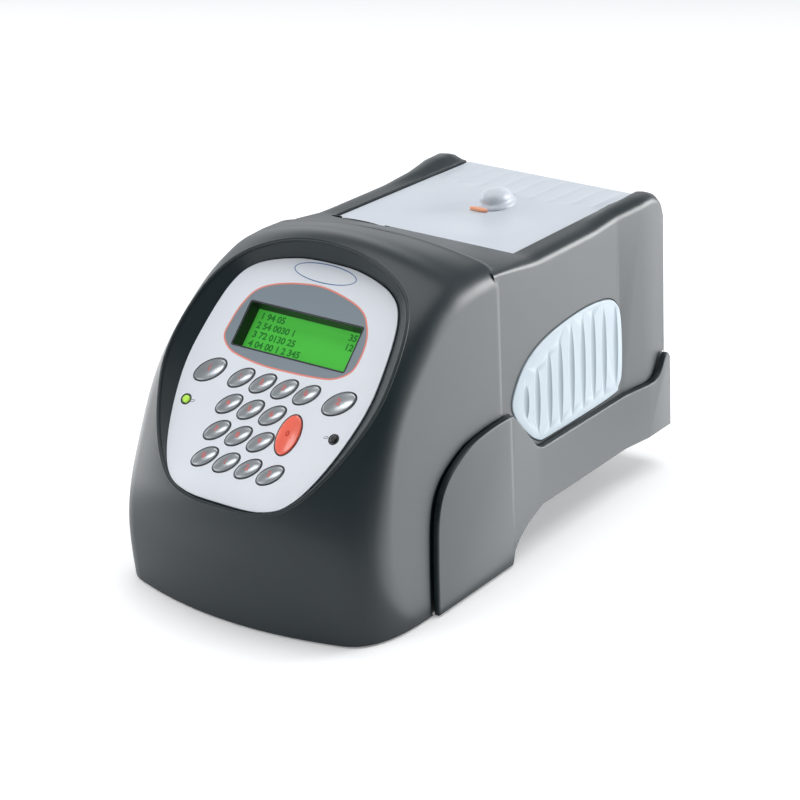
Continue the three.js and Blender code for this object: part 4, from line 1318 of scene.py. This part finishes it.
@dataclass
class SideGrips:
    """White inserts with finger grooves in both sides."""

    proud: float = 0.8
    depth: float = 2.6
    groove_half: float = 3.8
    groove_depth: float = 1.5
    lens_lift: float = 0.7
    grooves: tuple = ((8, 84, 105), (21, 72, 112), (35, 69, 118), (48, 68, 122), (62, 69, 126),
                      (75.5, 69, 126.5), (88.5, 70, 128), (102, 69, 125), (116.5, 71, 123))

    def insert(self, side: int) -> bmesh.types.BMesh:
        """One insert.

        Args:
            side: 1 for the right, -1 for the left.

        Returns:
            The mesh, bent to the cover's side.
        """
        bm = prism(closed_curve(GRIP_OUTLINE, 140), -self.depth, self.proud)
        rim = [e for e in bm.edges if all(v.co.z > self.proud - TINY for v in e.verts)]
        bevel(bm, rim, 0.9, 4)
        cutters = []
        for y, low, high in self.grooves:
            lens = bmesh.new()
            bmesh.ops.create_uvsphere(lens, u_segments=28, v_segments=20, radius=1)
            centre = Vector((y, (low + high) / 2, self.proud + self.lens_lift))
            size = (self.groove_half * 1.05, (high - low) / 2 * 1.08, self.groove_depth + self.lens_lift, 1)
            cutters.append(turned(lens, Matrix.Translation(centre) @ Matrix.Diagonal(size)))
        bm = carved(bm, cutters)
        for vert in bm.verts:
            y, z, out = vert.co
            vert.co = Vector((side * (FORM.side(y, z) + out), y, z))
        bmesh.ops.recalc_face_normals(bm, faces=bm.faces)
        return bm

    def build(self) -> None:
        """Makes both inserts."""
        for name, side in (("left", -1), ("right", 1)):
            Piece(f"grip_{name}", self.insert(side), Finishes.GRIP, stands_for=(f"side_grip_{name}",),
                  smooth=30).place()


@dataclass
class ControlPanel:
    """Overlay, display, keys and lights."""

    glass_depth: float = 9.5
    print_height: float = 0.05
    surround: tuple = ((-46, 22), (-46, 32), (-44, 43), (-39, 53), (-29, 59), (-13, 63), (4, 64), (23, 60),
                       (34, 55), (40, 48), (44, 39), (45, 28), (43, 19), (35, 13), (25, 11), (6, 10),
                       (-13, 10), (-29, 12), (-39, 15))
    badge: tuple = (0.0, 72.0, 21.3, 6.0)

    def piece(self, name: str, bm: bmesh.types.BMesh, finish: Finishes | bpy.types.Material,
              **facts: object) -> None:
        """Lays a mesh in (u, v, w) on the panel and places it."""
        Piece(name, turned(bm, PANEL.matrix()), finish, **facts).place()

    def build(self) -> None:
        """Makes every piece of the panel."""
        self.sheet()
        self.display()
        for key in keys():
            self.key(key)
        self.lights()

    def sheet(self) -> None:
        """The printed overlay."""
        top = 0.0
        body = prism(PANEL.outline(), -PANEL.thickness, top)
        rim = [e for e in body.edges if all(v.co.z > top - TINY for v in e.verts)]
        bevel(body, rim, 0.25, 2)
        holes = [prism(PANEL.window(0), -2, 2)]
        holes += [prism(key.outline(0.4, 48), -2, 2) for key in keys()]
        holes += [prism(light.outline(0.35, 28), -2, 2) for light in LIGHTS]
        self.piece("overlay_film", carved(body, holes), Finishes.OVERLAY, stands_for=("control_overlay",))

        foot, high = -0.3, self.print_height
        zone = closed_curve(self.surround, 160)
        grey = carved(prism(grown(zone, -0.7), foot, high), [prism(PANEL.window(0), -2, 2)])
        self.piece("display_surround", grey, Finishes.SURROUND)
        line = ring_of(grown(zone, 0.2), grown(zone, -0.75), foot, high + 0.02)
        self.piece("surround_line", line, Finishes.ACCENT)
        # Black rings round each key, light and the display window: painted shade of the gaps round them, laid
        # on the overlay.
        rings = [ring_of(key.outline(0.95), key.outline(0.42), foot, high) for key in keys()]
        rings += [ring_of(light.outline(1.3, 40), light.outline(0.4, 40), foot, high) for light in LIGHTS]
        rings.append(ring_of(PANEL.window(0.7), PANEL.window(0.05), foot, high + 0.03))
        self.piece("gap_shade_rings", joined(*rings), Finishes.BLACK, slot="overlay")
        u, v, half_u, half_v = self.badge
        oval = [ellipse(half_u - k, half_v - k, 72, 0, Vector((u, v))) for k in (0.0, 0.6)]
        self.piece("badge_ring", ring_of(*oval, foot, high), Finishes.BLUE_INK)
        marks = []
        for at in (Vector((u, -20.4)) for u in (-46.5, 45.5)):
            marks.append(ring_of(ellipse(1.5, 0.8, 24, 20, at), ellipse(1.15, 0.45, 24, 20, at), foot, high))
        self.piece("light_marks", joined(*marks), Finishes.INK)

    def display(self) -> None:
        """The sunk display, its dark frame, its characters and its pane."""
        deep = -self.glass_depth
        frame = ring_of(PANEL.window(3), PANEL.window(0.0), deep - 0.4, PANEL.floor - 3.1)
        throat = ring_of(PANEL.window(-0.01), PANEL.window(-0.35), deep, -0.1)
        self.piece("display_frame", joined(frame, throat), Finishes.BLACK, smooth=40)
        glass = prism(PANEL.window(2.5), deep - 2.2, deep)
        self.piece("display_glass", glass, lit_glass("backlit_display", "4FC247", "47B63F", 0.45),
                   stands_for=("lcd_module",), slot="display")
        dots = lit_glass("dark_display_dots", "338F38", "2C8432", 0.2)
        self.piece("display_characters", self.characters(deep), dots, slot="display")
        pane = prism(PANEL.window(-0.36), -0.75, -0.12)
        self.piece("display_pane", pane, clear_pane(), stands_for=("lcd_window",), slot="window")

    def characters(self, deep: float) -> bmesh.types.BMesh:
        """Rows of digits on the display.

        Args:
            deep: Height of the glass.

        Returns:
            The mesh.
        """
        columns = ((-35.0, ("1 94 05", "2 54 0030 1", "3 72 0130 25", "4 04 00 1 2 345")),
                   (26.0, ("35", "12")))
        parts = []
        for left, rows in columns:
            for i, text in enumerate(rows):
                foot = PANEL.display_v + 8.0 - 5.9 * i
                parts.append(glyphs(text, 5.6, left, foot, lambda *_: deep + 0.03, "LEFT"))
        return joined(*parts)

    def key(self, key: Key) -> None:
        """One domed key and its number.

        Args:
            key: The key.
        """
        flange_top = PANEL.floor - FORM.wall - 0.3
        loops = [(1.0, flange_top - 1.6), (1.0, flange_top), (0.0, flange_top), (0.0, 0.1), (-0.06, 0.35)]
        rings = [[Vector((p.x, p.y, w)) for p in key.outline(grow)] for grow, w in loops]
        centre = Vector((key.u, key.v))
        rim = key.outline(-0.06)
        for share in (0.965, 0.91, 0.83, 0.73, 0.62, 0.5, 0.37, 0.24, 0.12, 0.03):
            rings.append([Vector((*centre.lerp(p, share), key.dome(share))) for p in rim])
        finish = Finishes.KEY_RED if key.red else Finishes.KEY
        self.piece(f"{key.name}_cap", tube_through(rings), finish, body=key.name, stands_for=(key.name,),
                   smooth=40)

        spin = Matrix.Rotation(math.radians(-key.turn), 2)

        def lift(u: float, v: float) -> float:
            """Height of the number over the panel at a point.

            Args:
                u: Across the panel.
                v: Up the slope.

            Returns:
                The dome's height there and a hair more.
            """
            at = spin @ (Vector((u, v)) - centre)
            share = math.hypot(at.x / key.half_length, at.y / key.half_height)
            return key.dome(min(1.0, share)) + 0.03

        number = glyphs(key.legend, 5.4 if key.half_length > 9 else 4.6, key.u, key.v - 1.2, lift, "CENTER")
        ink = Finishes.LEGEND_RED if key.red else Finishes.LEGEND
        self.piece(f"{key.name}_number", number, ink, body=key.name)

    def lights(self) -> None:
        """Both light domes."""
        looks = (lit_glass("lime_led", "A9D64A", "98C83E", 0.35), Finishes.BLACK)
        for light, look in zip(LIGHTS, looks):
            rings = [[Vector((p.x, p.y, -3.0)) for p in light.outline(0)]]
            for turn in (*range(0, 76, 15), 88):
                a = math.radians(turn)
                inset = light.radius * (math.cos(a) - 1)
                rings.append([Vector((p.x, p.y, 0.1 + 1.1 * math.sin(a))) for p in light.outline(inset)])
            self.piece(f"{light.name}_dome", tube_through(rings), look, stands_for=(light.name,), smooth=50,
                       slot=light.slot)


def glyphs(text: str, size: float, u: float, v: float, lift: Callable[[float, float], float],
           align: str, bold: float = 0.035) -> bmesh.types.BMesh:
    """Digits as a thin mesh in (u, v, w).

    Args:
        text: The digits.
        size: Height of the letter body.
        u: Across the panel.
        v: Foot of the digits up the slope.
        lift: Height of the surface under a point.
        align: LEFT or CENTER.
        bold: How much each stroke is widened, as a share of the size.

    Returns:
        The mesh, 0.03 mm thick.
    """
    curve = bpy.data.curves.new("digits", "FONT")
    curve.body, curve.size, curve.align_x, curve.resolution_u = text, size, align, 3
    curve.offset = bold * size
    source = bpy.data.objects.new("digits", curve)
    bpy.context.scene.collection.objects.link(source)
    mesh = source.evaluated_get(bpy.context.evaluated_depsgraph_get()).to_mesh()
    bm = bmesh.new()
    bm.from_mesh(mesh)
    source.to_mesh_clear()
    bpy.data.objects.remove(source)
    bpy.data.curves.remove(curve)
    bmesh.ops.remove_doubles(bm, verts=bm.verts, dist=TINY)
    raised = bmesh.ops.extrude_face_region(bm, geom=list(bm.faces))["geom"]
    tops = {g for g in raised if isinstance(g, bmesh.types.BMVert)}
    for vert in bm.verts:
        at = vert.co.x + u, vert.co.y + v
        vert.co = Vector((*at, lift(*at) + (0.03 if vert in tops else -0.1)))
    bmesh.ops.recalc_face_normals(bm, faces=bm.faces)
    return bm


def lit_glass(name: str, colour: str, second: str, glow: float) -> bpy.types.Material:
    """Lit plastic or glass: its finish plus an even glow of its own.

    Args:
        name: The material's name.
        colour: Main colour, sRGB hex.
        second: Colour of the slow variation.
        glow: Strength of the glow.

    Returns:
        The material.
    """
    material = Finish(name, "display", colour, second, 0.25, 0.03, grain=0.5, relief=0.002, patch=30).build()
    shader = material.node_tree.nodes["Principled BSDF"]
    shader.inputs["Emission Color"].default_value = linear(colour)
    shader.inputs["Emission Strength"].default_value = glow
    return material


def clear_pane() -> bpy.types.Material:
    """Clear hard-coated acrylic: hardly seen but for its reflections.

    Returns:
        The material.
    """
    material = Finish("clear_acrylic", "window", "20261F", "1C221C", 0.06, 0.02, grain=2.0,
                      relief=0.001).build()
    shader = material.node_tree.nodes["Principled BSDF"]
    shader.inputs["Alpha"].default_value = 0.07
    return material


@dataclass
class Lid:
    """The white hinged lid with its dished top, ribs and sliding catch."""

    half: float = 63.0
    top: float = 177.5
    edge: float = 1.6
    plate: float = 2.4
    catch_y: float = 109.5
    catch_half: float = 9.0
    catch_length: float = 14.0
    catch_height: float = 8.4
    rib_pitch: float = 13.6
    rib_height: float = 0.5
    hinge_y: float = 164.0
    sink: float = 0.6
    dish_y: float = 84.0
    dish_half_x: float = 46.0
    dish_half_y: float = 52.0
    dish_depth: float = 1.9
    dish_flat: float = 0.25
    dish_slope: float = 0.85
    rib_front: float = 124.0
    rib_bow: float = 9.0
    rib_rear: float = 165.0
    rib_fade: float = 7.0
    front_skirt: float = 11.5
    side_skirt: float = 14.5
    hinge_skirt: float = 21.5
    rear_skirt: float = 27.0
    hinge_half: float = 7.2
    catch_lean: float = 3.0

    def relief(self, x: float, y: float) -> float:
        """Height of the lid's top over its plane, with its shallow dish and the ribs behind it.

        Args:
            x: Across the lid.
            y: Along it.

        Returns:
            The height.
        """
        away = math.hypot(x / self.dish_half_x, (y - self.dish_y) / self.dish_half_y)
        dish = -self.dish_depth * (1 - smoothstep((away - self.dish_flat) / self.dish_slope))
        start = self.rib_front + self.rib_bow * (abs(x) / self.half) ** 2
        fade_out = smoothstep((y - self.rib_rear) / (self.rib_fade + 1))
        along = smoothstep((y - start) / self.rib_fade) * (1 - fade_out)
        wave = math.cos(2 * math.pi * x / self.rib_pitch)
        return dish * (1 - along) + self.rib_height * along * (max(0.0, wave) ** 1.6 - 0.4)

    def drop(self, y: float) -> float:
        """Depth of the skirt under a point of the edge, deeper at the rear and at the hinge pins.

        Args:
            y: Along the lid.

        Returns:
            The depth below the top.
        """
        if y > FORM.rear_y - self.edge:
            return self.rear_skirt
        if y < FORM.lid_front_y + self.edge:
            return self.front_skirt
        return self.hinge_skirt if abs(y - self.hinge_y) < self.hinge_half else self.side_skirt

    def build(self) -> None:
        """Makes the lid's shell and its catch."""
        front, rear = FORM.lid_front_y, FORM.rear_y - 0.05
        inner_x, low_y, high_y = self.half - self.edge, front + self.edge, rear - self.edge
        bm = bmesh.new()
        mapped_grid(bm, 168, 200, lambda a, b: Vector((mix(-inner_x, inner_x, a), mix(low_y, high_y, b), 0)))
        for vert in bm.verts:
            vert.co.z = self.top + self.relief(vert.co.x, vert.co.y) - self.sink
        for turn in (22.5, 45, 67.5, 90):
            a = math.radians(turn)
            self.extend(bm, self.edge * math.sin(a), self.edge * (1 - math.cos(a)), (inner_x, low_y, high_y))
        self.extend(bm, self.edge, None, (inner_x, low_y, high_y))
        bmesh.ops.recalc_face_normals(bm, faces=bm.faces)
        if sum(f.normal.z for f in bm.faces) < 0:
            bmesh.ops.reverse_faces(bm, faces=bm.faces)
        bmesh.ops.solidify(bm, geom=list(bm.faces), thickness=self.plate)
        bmesh.ops.recalc_face_normals(bm, faces=bm.faces)
        Piece("lid_shell", bm, Finishes.WHITE, body="lid", stands_for=("lid_cover",), smooth=40).place()
        self.catch()

    def extend(self, bm: bmesh.types.BMesh, out: float, down: float | None,
               core: tuple[float, float, float]) -> None:
        """Extrudes the open edge outwards and down.

        Args:
            bm: The lid's mesh.
            out: How far outside the flat part.
            down: How far under it, or None for the foot of the skirt.
            core: Half width, front and rear of the flat part.
        """
        inner_x, low_y, high_y = core
        rim = [e for e in bm.edges if len(e.link_faces) == 1]
        fresh = bmesh.ops.extrude_edge_only(bm, edges=rim)["geom"]
        for vert in (g for g in fresh if isinstance(g, bmesh.types.BMVert)):
            x, y, _ = vert.co
            if abs(x) > inner_x - TINY:
                x = math.copysign(inner_x + out, x)
            if y < low_y + TINY:
                y = low_y - out
            if y > high_y - TINY:
                y = high_y + out
            held_x, held_y = max(-inner_x, min(inner_x, x)), max(low_y, min(high_y, y))
            top = self.top + self.relief(held_x, held_y) - self.sink
            vert.co = Vector((x, y, top - down if down is not None else self.top - self.drop(y)))

    def catch(self) -> None:
        """The egg-shaped sliding catch with its coloured mark."""
        base = self.top + 0.1

        def ring(share: float, height: float, shift: float) -> list[Vector]:
            """Ring of the dome.

            Args:
                share: Its size as a share of the catch's.
                height: Height over the lid's top.
                shift: How far it is moved along Y.

            Returns:
                The points.
            """
            at = Vector((0, self.catch_y + shift))
            outline = ellipse(self.catch_half * share, self.catch_length * share, 56, 0, at)
            return [Vector((p.x, p.y, base + height)) for p in outline]

        foot = ((1.22, -2.2), (1.19, -1.2), (1.13, -0.3), (1.05, 0.3))
        rings = [ring(spread, height, 0) for spread, height in foot]
        for turn in (8, 12, 18, 25, 35, 46, 57, 68, 78, 88):
            a = math.radians(turn)
            rise = math.sin(a) ** 0.9
            rings.append(ring(math.cos(a) ** 0.75, self.catch_height * rise, -self.catch_lean * rise))
        Piece("catch_dome", tube_through(rings), Finishes.WHITE, body="latch", stands_for=("latch_slider",),
              smooth=50).place()
        mark, at = [], Vector((-2, self.catch_y - 18.5))
        for share, height in ((1.0, -2.3), (1.0, -1.1), (0.9, -0.85), (0.6, -0.75), (0.05, -0.7)):
            outline = ellipse(6.4 * share, 2.2 * share, 32, 0, at)
            mark.append([Vector((p.x, p.y, base + height)) for p in outline])
        Piece("catch_mark", tube_through(mark), Finishes.MARK, body="latch", smooth=50,
              slot="key_red").place()


@dataclass
class ThermalCore:
    """The sample block with its wells."""

    y: float = 100.0
    top: float = 146.5
    height: float = 22.0
    half: float = 24.0
    pitch: float = 9.0
    count: int = 5
    radius: float = 3.3
    depth: float = 17.0

    def build(self) -> None:
        """Makes the block with conical wells."""
        cutters = []
        for i in range(self.count):
            for j in range(self.count):
                x, y = ((k - (self.count - 1) / 2) * self.pitch for k in (i, j))
                profile = [(self.radius + 0.5, self.top + 0.5), (self.radius, self.top - 0.5),
                           (self.radius, self.top - 6), (1.6, self.top - self.depth)]
                rings = [[Vector((p.x, p.y, z)) for p in ellipse(r, r, 28, 0, Vector((x, y + self.y)))]
                         for r, z in profile]
                cutters.append(tube_through(rings))
        body = block((-self.half, self.y - self.half, self.top - self.height),
                     (self.half, self.y + self.half, self.top), 0.5, 2)
        Piece("well_block", carved(body, [joined(*cutters)]), Finishes.ALUMINIUM,
              stands_for=("sample_block",), smooth=30).place()


KEPT_FINISHES = {
    Finishes.STEEL: ("latch_bolt", "latch_spring", "latch_keeper", "plate_spring_left", "plate_spring_right",
                     "hinge_pin_left", "hinge_pin_right", "serial_port",
                     *(f"rear_screw_{number}" for number in range(1, 5))),
    Finishes.BLACK: ("lid_liner", "fan_frame", "fan_rotor", "mains_inlet", "fuse_drawer", "switch_housing",
                     "switch_rocker"),
    Finishes.ALUMINIUM: ("heated_plate", "heat_sink"),
    Finishes.CERAMIC: ("peltier_module",),
    Finishes.SUPPLY: ("power_supply",),
    Finishes.BOARD: ("control_board", "keypad_board"),
    Finishes.PANEL: ("rear_panel",),
    Finishes.RUBBER: ("front_foot_left", "front_foot_right", "rear_foot_left", "rear_foot_right"),
}
EDGE_WIDTHS = {Finishes.BLACK: 0.35, Finishes.RUBBER: 0.9, Finishes.STEEL: 0.2, Finishes.PANEL: 0.3,
               Finishes.ALUMINIUM: 0.3, Finishes.SUPPLY: 1.0}


@dataclass
class KeptParts:
    """CAD parts whose shape is right: dressed, with their edges rounded."""

    nodes: dict

    def build(self) -> None:
        """Dresses each part."""
        for name, finish in ((name, finish) for finish, names in KEPT_FINISHES.items() for name in names):
            part = self.nodes[name]
            part.data.materials.clear()
            part.data.materials.append(finish.value.build())
            width = EDGE_WIDTHS.get(finish, 0.0)
            if width and "spring" not in name:
                weld = part.modifiers.new("weld", "WELD")
                weld.merge_threshold = 1e-6
                edge = part.modifiers.new("edge", "BEVEL")
                edge.width, edge.segments, edge.limit_method = width * MM, 2, "ANGLE"
                edge.angle_limit = math.radians(40)
            LOG.info("%s: kept, %s", name, finish.value.name)


# ---------------------------------------------------------------------------- studio


@dataclass
class Studio:
    """Pale floor, soft lights and camera."""

    camera_at: tuple = (0.7246918, -1.1038858, 0.607887)
    azimuth: float = 33.2174
    elevation: float = 21.8405
    roll: float = 1.0045
    lens: float = 105.89
    bright_way: tuple = (-0.3, 0.95, 0.0)
    bright: float = 1.25
    dim: float = 0.1
    floor_glow: float = 0.22
    backdrop: float = 0.95

    def build(self) -> None:
        """Makes the stage."""
        self.camera()
        self.floor()
        self.world()
        self.area("top_light", (0.05, 0.25, 2.0), (0.05, 0.25, 0), (2.2, 1.4), 29)
        self.area("rear_light", (0.95, 1.35, 0.36), (0, 0, 0.1), (0.6, 0.6), 20)
        self.area("left_light", (-1.5, 0.05, 0.35), (0, -0.05, 0.1), (0.8, 0.7), 8)
        self.area("front_light", (-0.35, -1.5, 1.6), (0, -0.1, 0.15), (0.8, 0.7), 13)
        self.area("low_front_light", (-0.85, -1.3, 0.3), (0, -0.15, 0.05), (0.8, 0.5), 4)
        self.area("right_floor_glow", (0.51, 0.39, 0.002), (0.51, 0.39, 1), (0.82, 1.0), 5.0)
        self.area("left_floor_glow", (-0.6, 0.0, 0.002), (-0.6, 0.0, 1), (0.7, 0.8), 3.2)
        self.area("rear_floor_glow", (0.0, 1.0, 0.002), (0.0, 1.0, 1), (0.9, 0.8), 3.0)
        bpy.context.scene.view_settings.view_transform = "Standard"

    def camera(self) -> None:
        """Camera with no shift and no depth of field."""
        data = bpy.data.cameras.new("camera")
        data.lens, data.sensor_width, data.clip_end = self.lens, 36.0, 20.0
        camera = bpy.data.objects.new("camera", data)
        bpy.context.scene.collection.objects.link(camera)
        a, e, r = (math.radians(v) for v in (self.azimuth, self.elevation, self.roll))
        back = Vector((math.sin(a) * math.cos(e), -math.cos(a) * math.cos(e), math.sin(e)))
        right = Vector((math.cos(a), math.sin(a), 0))
        up = back.cross(right)
        tilted_right = right * math.cos(r) + up * math.sin(r)
        tilted_up = up * math.cos(r) - right * math.sin(r)
        camera.matrix_world = Matrix((
            (tilted_right.x, tilted_up.x, back.x, self.camera_at[0]),
            (tilted_right.y, tilted_up.y, back.y, self.camera_at[1]),
            (tilted_right.z, tilted_up.z, back.z, self.camera_at[2]), (0, 0, 0, 1)))
        bpy.context.scene.camera = camera

    def floor(self) -> None:
        """Plain pale floor, glowing a little so that it stays white while the case stays dark."""
        bm = bmesh.new()
        bmesh.ops.create_grid(bm, x_segments=1, y_segments=1, size=6000)
        floor = object_of("floor", bm)
        paper = Finish("pale_paper", "case", "F6F7F8", "F4F5F6", 0.9, 0.03, grain=2.0, relief=0.01,
                       patch=400).build()
        shader = paper.node_tree.nodes["Principled BSDF"]
        shader.inputs["Emission Color"].default_value = linear("FFFFFF")
        shader.inputs["Emission Strength"].default_value = self.floor_glow
        floor.data.materials.append(paper)

    def world(self) -> None:
        """Pale surroundings: bright behind and beside the object, dim in front of it."""
        world = bpy.data.worlds.new("surroundings")
        bpy.context.scene.world = world
        world.use_nodes = True
        tree = world.node_tree
        sky = tree.nodes["Background"]
        sky.inputs["Color"].default_value = linear("F4F7FA")
        way = node(tree, "ShaderNodeTexCoord").outputs["Generated"]
        behind = node(tree, "ShaderNodeVectorMath", {"operation": "DOT_PRODUCT"}, in_0=way,
                      in_1=self.bright_way)
        round_share = node(tree, "ShaderNodeMapRange", {"interpolation_type": "SMOOTHSTEP"},
                           Value=behind.outputs["Value"], From_Min=-0.6, From_Max=0.7, To_Min=self.dim,
                           To_Max=self.bright)
        height = node(tree, "ShaderNodeSeparateXYZ", None, Vector=way)
        low = node(tree, "ShaderNodeMapRange", {"interpolation_type": "SMOOTHSTEP"},
                   Value=height.outputs["Z"], From_Min=0.25, From_Max=0.65, To_Min=1.0, To_Max=0.25)
        share = node(tree, "ShaderNodeMath", {"operation": "MULTIPLY"}, in_0=round_share.outputs["Result"],
                     in_1=low.outputs["Result"])
        seen = node(tree, "ShaderNodeLightPath").outputs["Is Camera Ray"]
        level = node(tree, "ShaderNodeMix", Factor=seen, in_2=share.outputs["Value"], in_3=self.backdrop)
        tree.links.new(level.outputs["Result"], sky.inputs["Strength"])

    def area(self, name: str, place: Sequence[float], aim: Sequence[float],
             size: tuple[float, float], power: float) -> None:
        """Adds a soft rectangular light.

        Args:
            name: Its name.
            place: Where it is, in metres.
            aim: What it points at.
            size: Its width and height in metres.
            power: Watts.
        """
        data = bpy.data.lights.new(name, "AREA")
        data.shape = "RECTANGLE"
        data.size, data.size_y = size
        data.energy = power
        light = bpy.data.objects.new(name, data)
        light.visible_camera = False
        light.location = place
        light.rotation_euler = (Vector(aim) - Vector(place)).to_track_quat("-Z", "Y").to_euler()
        bpy.context.scene.collection.objects.link(light)


def main() -> None:
    """Builds the cycler around its frame."""
    logging.basicConfig(level=logging.INFO, format="%(name)s: %(message)s")
    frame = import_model()
    Studio().build()
    for part in (UpperCover(), BASE, SideGrips(), ControlPanel(), Lid(), ThermalCore(),
                 KeptParts(frame["nodes"])):
        part.build()
        LOG.info("%s done", type(part).__name__)
    bpy.context.view_layer.update()


if __name__ == "__main__":
    main()
